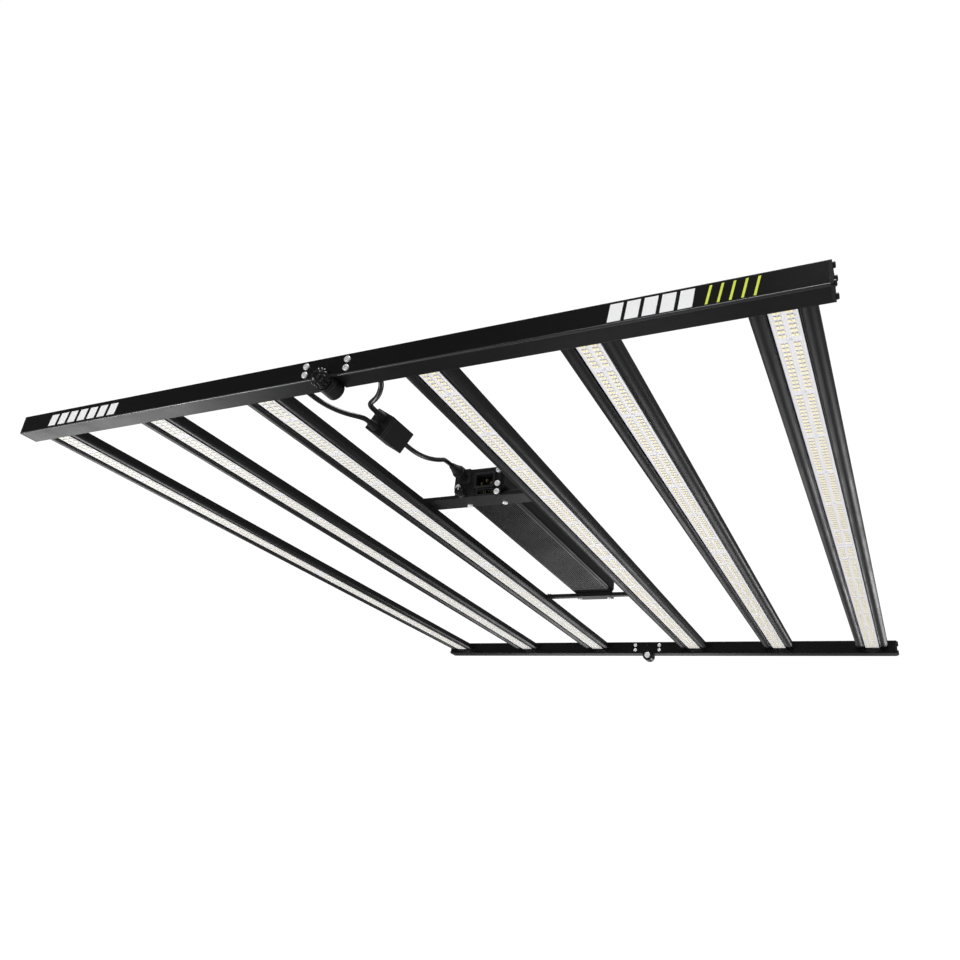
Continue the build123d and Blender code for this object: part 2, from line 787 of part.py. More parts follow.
def output_plug():
    """The cable's plug: a round body that tapers to the cable."""
    y, z = plug_place()
    body = rod_y(socket_x, y - plug_body, y, z, plug_radius)
    tip = y - plug_body - plug_taper
    taper = cone_y(socket_x, tip, y - plug_body, z, plug_mouth_radius, plug_radius - 1)
    return body + taper


def output_ring():
    """The knurled ring that locks the plug to the socket."""
    y1 = plate_front - socket_flange_thickness - ring_start
    y0 = y1 - ring_length
    z = driver_low + socket_z
    ring = rod_y(socket_x, y0, y1, z, ring_radius)
    for n in range(ring_flutes):
        turn = math.radians(360 * n / ring_flutes)
        ring = ring - rod_y(socket_x + ring_radius * math.cos(turn), y0 + 1.5, y1 - 1.5,
                            z + ring_radius * math.sin(turn), 0.6)
    return ring - rod_y(socket_x, y0 - 1, y1 + 1, z, ring_inner_radius)


def dimmer_knob():
    z = driver_low + dimmer_z
    back = plate_front - 0.5
    front = back - dimmer_length
    knob = rod_y(dimmer_x, front, back, z, dimmer_radius)
    knob = chamfer(knob.edges().group_by(Axis.Y)[0], 0.8)
    for n in range(16):
        turn = math.radians(360 * n / 16)
        knob = knob - rod_y(dimmer_x + dimmer_radius * math.cos(turn), front - 1, back - 2,
                            z + dimmer_radius * math.sin(turn), 0.5)
    knob = knob - block(dimmer_x - 0.5, dimmer_x + 0.5, front - 1, front + 0.7, z, z + dimmer_radius)
    return knob + rod_y(dimmer_x, back, back + dimmer_shaft, z, dimmer_shaft_radius)


def dimmer_module():
    """The dimmer's body behind the plate, with two control sockets that reach through the plate."""
    z = driver_low + port_z
    w, h = (size / 2 + port_rim for size in port_mouth)
    back = driver_near + 0.2
    body = block(dimmer_x - 6.0, port_x[1] + w, back, driver_near + module_depth, z - h, z + h)
    for x in port_x:
        body = body + block(x - w, x + w, plate_front - 1.2, back, z - h, z + h)
    w, h = (size / 2 for size in port_mouth)
    for x in port_x:
        body = body - block(x - w, x + w, plate_front - 2, plate_front - 1.2 + port_depth, z - h, z + h)
    return body - rod_y(dimmer_x, back - 1, plate_front + dimmer_shaft, driver_low + dimmer_z,
                        dimmer_shaft_radius + pin_clearance)


def power_inlet():
    """The mains inlet: a flanged body with a deep mouth and three flat pins."""
    z = driver_low + inlet_z
    w, h = (size / 2 for size in inlet_flange)
    front = plate_front - inlet_flange_thickness
    body = block(inlet_x - w, inlet_x + w, front, plate_front, z - h, z + h)
    body = fillet(body.edges().filter_by(Axis.Y), 2.5)
    w, h = (size / 2 for size in inlet_mouth)
    back = front + inlet_depth
    rim = inlet_body_wall
    body = body + block(inlet_x - w - rim, inlet_x + w + rim, plate_front, back + rim,
                        z - h - rim, z + h + rim)
    body = body - block(inlet_x - w, inlet_x + w, front - 1, back, z - h, z + h)
    pin_w, pin_l, pin_h = inlet_pin
    for x, up in ((-inlet_pin_spacing / 2, -2.0), (0.0, 2.0), (inlet_pin_spacing / 2, -2.0)):
        body = body + block(inlet_x + x - pin_h / 2, inlet_x + x + pin_h / 2, back - pin_l, back,
                            z + up - pin_w / 2, z + up + pin_w / 2)
    return body


def driver_screws():
    """The identical-headed screws of the driver: end caps, connector plate and brackets."""
    def screw(length):
        return cap_head_screw(driver_screw_radius, driver_screw_head_radius, driver_screw_head, length)
    screws = []
    for x, z in cap_screw_places():
        screws.append(sunk(screw(8.0), (x, driver_far, z), (0, -1, 0)))
    for x, z in plate_screw_places():
        screws.append(sunk(screw(5.0), (x, plate_front, z), (0, 1, 0)))
    for x in (-near_screw_spacing / 2, near_screw_spacing / 2):
        length = near_bracket_thickness + driver_seat + driver_base - 0.4
        screws.append(sunk(screw(length), (x, near_screw_y, bar_top), (0, 0, 1)))
    for x in (-far_screw_spacing / 2, far_screw_spacing / 2):
        length = far_bracket_thickness + driver_seat + ear_thickness
        screws.append(sunk(screw(length), (x, far_screw_y, bar_top), (0, 0, 1)))
    for x, y, thickness in bracket_fixings():
        screws.append(sunk(screw(thickness + bar_wall), (x, y, bar_top + thickness), (0, 0, -1)))
    return together(screws)


# --- brackets ------------------------------------------------------------------------------
def bracket_fixings():
    """The (x, y, thickness) of the screws that hold the brackets to the left half's nearest bar."""
    skin = (bar_width / 2 + skin_inner) / 2
    near = (near_bracket_y + near_bracket_width / 2, near_bracket_thickness)
    far = (far_bracket_y + far_bracket_width / 2, far_bracket_thickness)
    return [(-first_bar_left + dx, y, t) for y, t in (near, far) for dx in (-skin, skin)]


def bracket_span():
    """The brackets cross the left middle bar, and stop short of the right one's outer edge."""
    return -first_bar_left - bar_width / 2, first_bar_right + bar_width / 2 - bracket_short


def cross_bar(y0, width, thickness):
    x0, x1 = bracket_span()
    bar = block(x0, x1, y0, y0 + width, bar_top, bar_top + thickness)
    bar = fillet(bar.edges().filter_by(Axis.X), bracket_edge)
    for x, y, _ in bracket_fixings():
        if y0 < y < y0 + width:
            bar = bar - rod_z(x, y, bar_top - 1, bar_top + thickness + 1,
                              driver_screw_radius + screw_hole_clearance)
    return bar


def bracket_near():
    bar = cross_bar(near_bracket_y, near_bracket_width, near_bracket_thickness)
    top = bar_top + near_bracket_thickness
    half = near_screw_spacing / 2 + 6.0
    bar = bar + block(-half, half, near_bracket_y + 3, near_bracket_y + near_bracket_width - 2, top - 1,
                      top + driver_seat)
    for x in (-near_screw_spacing / 2, near_screw_spacing / 2):
        bar = bar - rod_z(x, near_screw_y, bar_top - 1, driver_low + 1,
                          driver_screw_radius + screw_hole_clearance)
    return bar


def bracket_far():
    y0 = far_bracket_y
    bar = cross_bar(y0, far_bracket_width, far_bracket_thickness)
    half = far_plate_length / 2
    bar = bar + block(-half, half, y0, y0 + far_plate_width, bar_top, bar_top + far_bracket_thickness)
    bar = bar + block(-half, half, y0 + 1, y0 + far_plate_width - 1, bar_top + 1, driver_low)
    for x in (-far_screw_spacing / 2, far_screw_spacing / 2):
        bar = bar - rod_z(x, far_screw_y, bar_top - 1, driver_low + 1,
                          driver_screw_radius + screw_hole_clearance)
    return bar


# --- splitter ------------------------------------------------------------------------------
def splitter_place():
    return Pos(splitter_x, splitter_y, splitter_z) * Rot(0, splitter_roll, 0)


def splitter_shell(y0, y1):
    half = splitter_side / 2
    shell = block(-half, half, y0, y1, -half, half)
    return fillet(shell.edges().filter_by(Axis.Y), splitter_edge)


def splitter_body():
    """An open box whose mouth faces the near rail."""
    y0 = -splitter_length / 2 + splitter_lid
    y1 = splitter_length / 2
    inner = splitter_side / 2 - splitter_wall
    body = splitter_shell(y0, y1) - block(-inner, inner, y0 - 1, y1 - splitter_wall, -inner, inner)
    return splitter_place() * body


def splitter_lid_plate():
    """The lid, with a rim that fits inside the body."""
    y0 = -splitter_length / 2
    y1 = y0 + splitter_lid
    inner = splitter_side / 2 - splitter_wall - 0.15
    lid = splitter_shell(y0, y1) + block(-inner, inner, y1, y1 + 2, -inner, inner)
    rim = inner - 1.5
    return splitter_place() * (lid - block(-rim, rim, y0 + 2, y1 + 3, -rim, rim))


def gland(y_face, outward):
    """A gland that stands on the face at y_face and narrows to the cable."""
    nut = gland_length * 0.4
    y0, y1 = sorted((y_face, y_face + outward * nut))
    body = extrude(Plane.XZ * RegularPolygon(gland_radius, 6), amount=nut / 2, both=True)
    body = Pos(0, (y0 + y1) / 2, 0) * body
    tip = y_face + outward * gland_length
    if outward > 0:
        return body + cone_y(0, y1, tip, 0, gland_radius - 0.8, gland_mouth_radius)
    return body + cone_y(0, tip, y0, 0, gland_mouth_radius, gland_radius - 0.8)


def lid_gland_place(sign):
    """The (x, z) of the lid's upper (1) or lower (-1) gland."""
    roll = math.radians(splitter_roll)
    x = splitter_x + sign * math.sin(roll) * gland_spread
    return x, splitter_z + sign * math.cos(roll) * gland_spread


def splitter_glands():
    """Two glands in the lid, side by side up the rolled box, and one in the far end."""
    near = splitter_y - splitter_length / 2
    far = splitter_y + splitter_length / 2
    glands = []
    for sign in (-1, 1):
        x, z = lid_gland_place(sign)
        glands.append(Pos(x, 0, z) * gland(near, -1))
    glands.append(Pos(splitter_x, 0, splitter_z) * gland(far, 1))
    return together(glands)


# --- cables --------------------------------------------------------------------------------
def driver_cable_corners():
    """From the splitter's far gland to the plug's end."""
    plug_y, plug_z = plug_place()
    start = (splitter_x, splitter_y + splitter_length / 2 + gland_length, splitter_z)
    end = (socket_x, plug_y - plug_body - plug_taper, plug_z)
    way = [tuple(a + s * (b - a) for a, b, s in zip(start, end, shares)) for shares in driver_cable_way]
    return [start] + way + [end]


def rail_cable_corners(sign):
    """From one of the lid's glands to the near rail's grommet: sign is -1 left, 1 right."""
    x, z = lid_gland_place(sign)
    start = (x, splitter_y - splitter_length / 2 - gland_length, z)
    end = (grommet_middle(sign), -rail_inner + grommet_reach, grommet_z)
    way = left_cable_way if sign < 0 else right_cable_way
    way = [(x, -rail_inner + away, z) for x, z, away in way]
    lead_out = (start[0], start[1] - gland_lead, start[2])
    lead_in = (end[0], end[1] + grommet_lead, end[2])
    return [start, lead_out] + way + [lead_in, end]


def cable(points, name):
    """A round cable along straight runs joined by tangent arcs as large as the runs allow."""
    corners = [Vector(*p) for p in points]
    radii = []
    for before, here, after in zip(corners, corners[1:], corners[2:]):
        turn = math.radians((here - before).get_angle(after - here))
        shorter = min((here - before).length, (after - here).length)
        radii.append(0.45 * shorter / math.tan(turn / 2))
    path = FilletPolyline(*points, radius=radii)
    start = Plane(origin=path @ 0, z_dir=path % 0)
    tube = sweep(start * Circle(cable_diameter / 2), path=path)
    section = math.pi * cable_diameter ** 2 / 4
    print(name, "length", round(path.length, 1), "radii", [round(r, 1) for r in radii],
          "volume over section times length", round(tube.volume / (section * path.length), 4))
    print(name, "corners", [tuple(round(v, 1) for v in p) for p in points])
    return tube


def grommet_middle(side):
    """The X of the hole that a half's cable goes through: side is -1 left, 1 right."""
    return -grommet_left_x if side < 0 else grommet_right_x


def grommet(side):
    """A flanged bush in the near rail's inner wall, with a boot that the cable leaves."""
    x = grommet_middle(side)
    face = -rail_inner
    inside = face - rail_wall
    body = rod_y(x, inside - 1.2, face, grommet_z, grommet_radius)
    body = body + rod_y(x, face, face + grommet_flange, grommet_z, grommet_flange_radius)
    body = body + rod_y(x, inside - 1.2 - grommet_flange, inside - 0.2, grommet_z,
                        grommet_flange_radius - 0.7)
    return body + cone_y(x, face + grommet_flange, face + grommet_reach, grommet_z, 4.4, 3.3)


def harness(side):
    """The wiring inside the near rail, with a branch into each bar's top channel."""
    places = bars_of(side)
    x0, x1 = sorted((grommet_middle(side), places[0] if side < 0 else places[-1]))
    trunk = rod_x(x0 - harness_radius, x1 + harness_radius, harness_y, harness_z, harness_radius)
    for x in places:
        trunk = trunk + rod_y(x, harness_y, -rail_inner + harness_into_bar, harness_z, harness_radius)
    inside = -rail_inner - rail_wall - 1.2 - grommet_flange
    return trunk + block(grommet_middle(side) - harness_radius, grommet_middle(side) + harness_radius,
                         harness_y - harness_radius, inside, grommet_z - harness_radius, harness_z)


# --- the whole light -----------------------------------------------------------------------
def main():
    for side, half in ((-1, "left"), (1, "right")):
        save(rail_half(side, -rail_middle), f"near_rail_{half}")
        save(rail_half(side, rail_middle), f"far_rail_{half}")
        save(together([end_cap(side, y) for y in (-rail_middle, rail_middle)]), f"end_caps_{half}")
        save(frame_screws(side), f"frame_screws_{half}")
        save(hinge_screws(side), f"hinge_screws_{half}")
        save(led_rows(bars_of(side)), f"leds_{half}")
        save(board_screws(bars_of(side)), f"board_screws_{half}")
        save(grommet(side), f"cable_grommet_{half}")
        save(harness(side), f"rail_harness_{half}")
    for number, x in enumerate(bars_left + bars_right, 1):
        save(led_bar(x), f"led_bar_{number}")
        save(led_board(x), f"led_board_{number}")
    for y, end in ((-rail_middle, "near"), (rail_middle, "far")):
        save(hinge_fork(y), f"hinge_fork_{end}")
        save(hinge_tongue(y), f"hinge_tongue_{end}")
    save(hinge_pin_near(), "hinge_pin_near")
    save(hinge_pin_far(), "hinge_pin_far")
    save(hinge_nut_far(), "hinge_nut_far")
    save(hinge_lock_knob(), "hinge_lock_knob")
    save(driver_housing(), "driver_housing")
    save(driver_cap_near(), "driver_cap_near")
    save(driver_cap_far(), "driver_cap_far")
    save(driver_board(), "driver_board")
    save(transformers(), "driver_transformers")
    save(capacitors(), "driver_capacitors")
    save(driver_screws(), "driver_screws")
    save(connector_plate(), "connector_plate")
    save(output_socket(), "output_socket")
    save(output_plug(), "output_plug")
    save(output_ring(), "output_ring")
    save(dimmer_knob(), "dimmer_knob")
    save(dimmer_module(), "dimmer_module")
    save(power_inlet(), "power_inlet")
    save(bracket_near(), "driver_bracket_near")
    save(bracket_far(), "driver_bracket_far")
    save(splitter_body(), "splitter_body")
    save(splitter_lid_plate(), "splitter_lid")
    save(splitter_glands(), "splitter_glands")
    save(cable(driver_cable_corners(), "cable_driver"), "cable_driver")
    save(cable(rail_cable_corners(-1), "cable_left"), "cable_left")
    save(cable(rail_cable_corners(1), "cable_right"), "cable_right")


main()
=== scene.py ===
import json
import math

import bpy
from mathutils import Matrix, Vector


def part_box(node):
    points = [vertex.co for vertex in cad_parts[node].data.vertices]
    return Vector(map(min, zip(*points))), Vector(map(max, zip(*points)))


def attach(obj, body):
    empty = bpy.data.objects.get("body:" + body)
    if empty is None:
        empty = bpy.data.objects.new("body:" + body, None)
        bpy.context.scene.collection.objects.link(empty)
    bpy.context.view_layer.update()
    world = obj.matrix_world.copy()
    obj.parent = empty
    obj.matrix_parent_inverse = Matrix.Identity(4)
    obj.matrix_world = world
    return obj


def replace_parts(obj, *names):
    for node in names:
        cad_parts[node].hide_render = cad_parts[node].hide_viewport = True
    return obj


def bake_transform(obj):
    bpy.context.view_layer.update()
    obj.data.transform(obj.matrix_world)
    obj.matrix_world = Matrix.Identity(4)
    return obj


# A folding LED grow light, seen from below. Metres, in the CAD model's frame: +X along the
# rails, +Y along the bars from the near rail to the far rail, +Z up.

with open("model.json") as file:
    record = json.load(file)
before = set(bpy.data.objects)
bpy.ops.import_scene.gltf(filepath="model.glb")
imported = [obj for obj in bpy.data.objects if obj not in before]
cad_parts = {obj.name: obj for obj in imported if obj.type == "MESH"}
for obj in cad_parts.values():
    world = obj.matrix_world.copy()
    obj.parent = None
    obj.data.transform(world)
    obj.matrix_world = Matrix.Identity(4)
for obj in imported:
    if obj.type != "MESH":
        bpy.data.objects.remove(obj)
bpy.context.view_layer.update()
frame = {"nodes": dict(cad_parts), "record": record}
nodes = frame["nodes"]
MM = 0.001

# --- camera, floor and light ---------------------------------------------------------------
CAMERA_PLACE = (0.4766, -1.0854, -0.4155)
CAMERA_HEADING = 29.15      # degrees from +Y towards -X
CAMERA_RISE = 23.80
CAMERA_ROLL = 6.69
CAMERA_LENS = 31.19
SENSOR_WIDTH = 36.0
NEAREST_SEEN = 0.01
FLOOR_HEIGHT = -2.0
FLOOR_HALF = 40.0
WORLD_STRENGTH = 0.12
BACKDROP_STRENGTH = 1.05
SUN_STRENGTH = 3.6
SUN_ANGLE = 40.0
# (name, place, size, power), each aimed at the middle of the fixture. The bars' right and left
# flanges mirror the first two, the near rail's underside on the left mirrors the third, its lower
# edge mirrors the fourth, and the last one lights the top.
SOFTBOXES = (
    ("far_low", (1.1, 4.1, -1.45), (0.7, 0.8), 14.0),
    ("far_left", (-1.0, 3.5, -1.5), (1.2, 0.8), 7.0),
    ("left_low", (-3.3, 1.3, -1.4), (1.8, 0.9), 20.0),
    ("front_low", (-2.3, -1.9, -1.9), (1.4, 0.6), 60.0),
    ("top", (1.2, -1.6, 2.4), (1.6, 1.6), 30.0),
)

# --- sizes repeated from the CAD model -----------------------------------------------------
BOARD_SPLIT = 1.0 * MM
BOARD_SCREW_MARGIN = 50.0 * MM
BOARD_SCREWS = 6
CABLE_DIAMETER = 5.5 * MM
# The near rail's inner face, which the grommets' flanges lie on.
RAIL_FACE = -534.5 * MM

# --- lips on the rails' lower edges, their lighter metallic grey a painted highlight -------
BEAD_RADIUS = 1.3 * MM
BEAD_INSET = 1.15 * MM
BEAD_STEPS = 16

# --- LED chips -----------------------------------------------------------------------------
CHIP_COLUMNS = (-6.4 * MM, -3.4 * MM, 3.4 * MM, 6.4 * MM)
CHIP_WIDTH = 2.8 * MM
CHIP_LENGTH = 3.7 * MM
CHIP_HEIGHT = 0.65 * MM
CHIP_RIM = 0.22 * MM
CHIP_SINK = 0.12 * MM
PAD_WIDTH = 1.9 * MM
PAD_LENGTH = 0.8 * MM
PAD_HEIGHT = 0.1 * MM
CHIP_TRIM = 0.06 * MM
FOOT_SINK = 0.02 * MM
# The last of a chip's faces is its window.
FACES_PER_CHIP = 14
ROWS_BETWEEN_SCREWS = 12
# A painted glow: the unlit chips' phosphor gives off a little light of its own colour.
PAINTED_PHOSPHOR_GLOW = 0.12

# The cables' control points, in millimetres. They are the CAD routes' corners, except that the
# loops of the two short cables are moved by a few millimetres.
DRIVER_CABLE = (
    (-21.0, -270.4, 20.7),
    (-21.0, -288.1, 20.7),
    (-16.8, -303.2, 12.5),
    (-11.9, -326.0, 1.5),
    (-9.0, -351.2, -8.0),
    (-8.0, -377.8, -13.5),
    (-8.0, -396.7, -13.5),
)
LEFT_CABLE = (
    (-11.5, -461.7, -19.0),
    (-11.5, -468.7, -19.0),
    (-13.2, -475.7, -20.2),
    (-16.6, -482.2, -21.2),
    (-21.4, -488.0, -21.5),
    (-27.0, -493.3, -20.7),
    (-32.8, -498.2, -19.0),
    (-38.5, -503.4, -16.8),
    (-43.3, -509.2, -14.4),
    (-46.6, -515.7, -12.5),
    (-48.0, -522.8, -11.5),
    (-48.0, -528.5, -11.5),
)
RIGHT_CABLE = (
    (-4.5, -461.7, -8.0),
    (-4.5, -468.7, -8.0),
    (-3.0, -475.5, -8.6),
    (0.8, -481.8, -10.0),
    (6.0, -487.2, -12.0),
    (12.0, -492.2, -13.8),
    (18.6, -497.2, -15.0),
    (25.2, -502.6, -15.2),
    (31.2, -508.8, -14.3),
    (36.6, -515.4, -12.9),
    (40.0, -522.8, -11.5),
    (40.0, -528.5, -11.5),
)

# --- strain reliefs ------------------------------------------------------------------------
# The splitter's glands in millimetres: the middle's x and z, and the wide and narrow ends' y.
SPLITTER_GLANDS = (
    ((-11.5, -19.0), -449.7, -461.9),
    ((-4.5, -8.0), -449.7, -461.9),
    ((-8.0, -13.5), -408.7, -396.5),
)
GLAND_RADII = (4.6 * MM, 3.3 * MM)
GROMMET_SEAT_RADII = (3.6 * MM, 3.9 * MM)
GROMMET_TAPER_RADII = (4.4 * MM, 3.2 * MM)
FLANGE_RADIUS = 5.4 * MM
FLANGE_DEPTH = 1.6 * MM
FLANGE_RIM = 0.4 * MM
# Shares of a boot's length: its plain wide end, where its ribs start, and how far they go.
BOOT_PLAIN_SHARE = 0.12
BOOT_RIBS_START = 0.16
BOOT_RIBS_SHARE = 0.8
RIB_LIFT = 0.35 * MM
# The corners of each rib: the share of its pitch, and outside (1) or inside (-1) the taper.
RIB_POINTS = ((0.0, -1), (0.25, 1), (0.6, 1), (0.85, -1))

# --- knobs, plug and contacts --------------------------------------------------------------
LOCK_KNOB_DEPTH = 11.0 * MM
# The knob's sunk face in millimetres: (distance behind the front, radius).
LOCK_KNOB_DISH = ((1.6, 0.1), (1.6, 5.0), (0.0, 6.2))
LOCK_COLLAR_DEPTH = 2.2 * MM
LOCK_COLLAR_INSET = 1.2 * MM
WASHER_RADIUS = 7.6 * MM
STUD_RADIUS = 2.5 * MM
DIMMER_DEPTH = 12.0 * MM
DIMMER_BASE_DEPTH = 1.8 * MM
DIMMER_BASE_INSET = 0.5 * MM
# The shallow step between two parts of a knob or plug.
SEAM = 0.2 * MM
# The pointer's low and high corners in millimetres, from the middle of the dimmer's front.
POINTER = ((-0.4, -0.02, 1.0), (0.4, 0.4, 4.4))
PLUG_BODY_LENGTH = 10.0 * MM
PLUG_RADIUS = 6.4 * MM
PLUG_TAPER_RADII = (5.4 * MM, 3.5 * MM)
RING_BORE_RADIUS = 6.7 * MM
RING_LIP = 1.1 * MM
RING_LIP_INSET = 0.7 * MM
RING_GAP = 0.05 * MM
# The inlet's pins in millimetres: each one's x and z from the inlet's middle.
PIN_PLACES = ((-7.0, -2.0), (0.0, 2.0), (7.0, -2.0))
PIN_ROOT = 16.0 * MM
# A pin's blade and its narrower tip in millimetres: half width, half height, start and end.
PIN_STEPS = ((1.06, 2.06, 0.0, 9.2), (0.7, 1.7, 9.1, 9.56))
PORT_MIDDLES = (5.5 * MM, 17.5 * MM)
PORT_HEIGHT = -3.5 * MM
CONTACTS = 6
CONTACT_PITCH = 1.1 * MM
# A contact's low and high corners in millimetres, from its place on the port's front.
CONTACT = ((-0.2, 1.5, 1.6), (0.2, 6.2, 2.1))

# --- printed marks -------------------------------------------------------------------------
# Rows of marks in millimetres: first and last x, how many, the share of the row that is filled,
# lowest and highest z, how far a mark leans, its ink and its body.
MARKS = {
    "marks_left": (-401.0, -283.0, 7, 0.72, -19.5, -5.5, 2.5, "white_ink", "left_half"),
    "marks_right": (281.0, 355.0, 5, 0.78, -20.0, -3.0, 2.5, "white_ink", "right_half"),
    "marks_lime": (359.0, 408.0, 5, 0.22, -20.0, -3.0, 4.0, "lime_ink", "right_half"),
}
MARK_PROUD = 0.06 * MM
MARK_SINK = 0.02 * MM


# --- materials -----------------------------------------------------------------------------
# The Mix node has a set of sockets for each type of value; these are the colour ones.
COLOR_A = 6
COLOR_B = 7
MIXED_COLOR = 2
# The cosine between the flat and the softened normal where an edge's wear starts and is whole.
EDGE_COSINES = (0.995, 0.85)
# The middle stretch of a noise's values, which most of it lies in.
NOISE_MIDDLE = (0.3, 0.7)


class Shader:
    """A Principled material and short ways to add nodes to it."""

    def __init__(self, name):
        self.material = bpy.data.materials.new(name)
        self.material.use_nodes = True
        self.tree = self.material.node_tree
        self.surface = self.tree.nodes["Principled BSDF"]
        self.coords = self.add("ShaderNodeTexCoord").outputs["Object"]

    def add(self, kind, **settings):
        node = self.tree.nodes.new(kind)
        for key, value in settings.items():
            setattr(node, key, value)
        return node

    def link(self, source, target):
        self.tree.links.new(source, target)

    def stretched(self, scale):
        mapping = self.add("ShaderNodeMapping")
        mapping.inputs["Scale"].default_value = scale
        self.link(self.coords, mapping.inputs["Vector"])
        return mapping.outputs["Vector"]

    def noise(self, scale, detail=3.0, vector=None):
        node = self.add("ShaderNodeTexNoise")
        node.inputs["Scale"].default_value = scale
        node.inputs["Detail"].default_value = detail
        self.link(vector or self.coords, node.inputs["Vector"])
        return node.outputs["Fac"]

    def ranged(self, value, low, high, to_low, to_high):
        node = self.add("ShaderNodeMapRange")
        limits = {"From Min": low, "From Max": high, "To Min": to_low, "To Max": to_high}
        for key, number in limits.items():
            node.inputs[key].default_value = number
        self.link(value, node.inputs["Value"])
        return node.outputs["Result"]

    def mixed(self, share, first, second):
        """A colour between first and second, which are colours or sockets that give one."""
        node = self.add("ShaderNodeMix", data_type="RGBA")
        for socket, value in zip((node.inputs[COLOR_A], node.inputs[COLOR_B]), (first, second)):
            if isinstance(value, bpy.types.NodeSocket):
                self.link(value, socket)
            else:
                socket.default_value = (*value, 1.0)
        self.link(share, node.inputs["Factor"])
        return node.outputs[MIXED_COLOR]

    def rounded_edges(self, radius):
        node = self.add("ShaderNodeBevel", samples=4)
        node.inputs["Radius"].default_value = radius
        return node.outputs["Normal"]

    def edge_share(self, rounded):
        """1 on the edges that rounded softens, and 0 on flat faces."""
        flat = self.add("ShaderNodeNewGeometry").outputs["Normal"]
        dot = self.add("ShaderNodeVectorMath", operation="DOT_PRODUCT")
        self.link(rounded, dot.inputs[0])
        self.link(flat, dot.inputs[1])
        return self.ranged(dot.outputs["Value"], *EDGE_COSINES, 0.0, 1.0)

    def bump(self, height, distance, normal=None):
        node = self.add("ShaderNodeBump")
        node.inputs["Distance"].default_value = distance
        self.link(height, node.inputs["Height"])
        if normal is not None:
            self.link(normal, node.inputs["Normal"])
        return node.outputs["Normal"]

    def finish(self, color, roughness, normal, metallic=0.0, specular=0.5):
        self.link(color, self.surface.inputs["Base Color"])
        self.link(roughness, self.surface.inputs["Roughness"])
        self.link(normal, self.surface.inputs["Normal"])
        self.surface.inputs["Metallic"].default_value = metallic
        self.surface.inputs["Specular IOR Level"].default_value = specular
        return self.material


def scaled(color, factor):
    """A colour made darker or lighter."""
    return tuple(min(1.0, channel * factor) for channel in color)


def coated(name, color, roughness, grain, depth, specular=0.3, mottle=0.25, edge=0.4 * MM,
           wear=0.06, stretch=(1, 1, 1), metallic=0.0):
    """A painted, anodised or moulded finish: fine grain, uneven sheen and lighter worn edges."""
    s = Shader(name)
    fine = s.noise(grain, 4.0, s.stretched(stretch))
    broad = s.noise(14.0, 5.0)
    base = s.mixed(fine, scaled(color, 1 - mottle), scaled(color, 1 + mottle))
    rounded = s.rounded_edges(edge)
    worn = s.add("ShaderNodeMath", operation="MULTIPLY")
    s.link(s.edge_share(rounded), worn.inputs[0])
    s.link(s.ranged(s.noise(90.0), 0.42, 0.62, 0.15, 1.0), worn.inputs[1])
    base = s.mixed(worn.outputs["Value"], base, tuple(c + wear for c in color))
    sheen = s.ranged(broad, *NOISE_MIDDLE, roughness - 0.05, roughness + 0.07)
    return s.finish(base, sheen, s.bump(fine, depth, rounded), metallic, specular)


def bright_steel(name, color=(0.80, 0.80, 0.82), metallic=0.4):
    """Zinc-plated steel, dulled by its plating, with faint turning marks."""
    s = Shader(name)
    fine = s.noise(2600.0, 3.0)
    base = s.mixed(fine, scaled(color, 0.88), scaled(color, 1.1))
    rounded = s.rounded_edges(0.25 * MM)
    sheen = s.ranged(s.noise(300.0), *NOISE_MIDDLE, 0.25, 0.42)
    return s.finish(base, sheen, s.bump(fine, 0.01 * MM, rounded), metallic)


def circuit_board(name, color, trace, row, column):
    """Solder mask over copper: pads and traces show as faint raised rectangles."""
    s = Shader(name)
    brick = s.add("ShaderNodeTexBrick", offset=0.0)
    for key, value in (("Scale", 1.0), ("Mortar Size", 0.22 * MM), ("Mortar Smooth", 0.4),
                       ("Brick Width", column), ("Row Height", row)):
        brick.inputs[key].default_value = value
    s.link(s.coords, brick.inputs["Vector"])
    speckle = s.noise(1500.0)
    base = s.mixed(speckle, scaled(color, 0.96), scaled(color, 1.04))
    base = s.mixed(brick.outputs["Fac"], base, trace)
    sheen = s.ranged(speckle, *NOISE_MIDDLE, 0.32, 0.45)
    return s.finish(base, sheen, s.bump(brick.outputs["Fac"], -0.03 * MM, s.rounded_edges(0.2 * MM)))


def phosphor(name, color, deep):
    """The silicone over a chip's phosphor: slightly grainy, with a faint painted glow of its own colour,
    though the chips are not lit.
    """
    s = Shader(name)
    grain = s.noise(5200.0, 4.0)
    base = s.mixed(grain, deep, color)
    base = s.mixed(s.ranged(s.noise(160.0), 0.35, 0.65, 0.0, 0.35), base, scaled(color, 1.05))
    # A painted glow, though the chips are not lit.
    s.link(base, s.surface.inputs["Emission Color"])
    s.surface.inputs["Emission Strength"].default_value = PAINTED_PHOSPHOR_GLOW
    sheen = s.ranged(grain, *NOISE_MIDDLE, 0.25, 0.4)
    return s.finish(base, sheen, s.bump(grain, 0.02 * MM))


def woven_sleeve(name, color):
    """Braided sleeving round the wiring."""
    s = Shader(name)
    checker = s.add("ShaderNodeTexChecker")
    checker.inputs["Scale"].default_value = 1400.0
    s.link(s.coords, checker.inputs["Vector"])
    base = s.mixed(checker.outputs["Fac"], scaled(color, 0.7), scaled(color, 1.5))
    sheen = s.ranged(s.noise(200.0), *NOISE_MIDDLE, 0.5, 0.65)
    return s.finish(base, sheen, s.bump(checker.outputs["Fac"], 0.05 * MM))


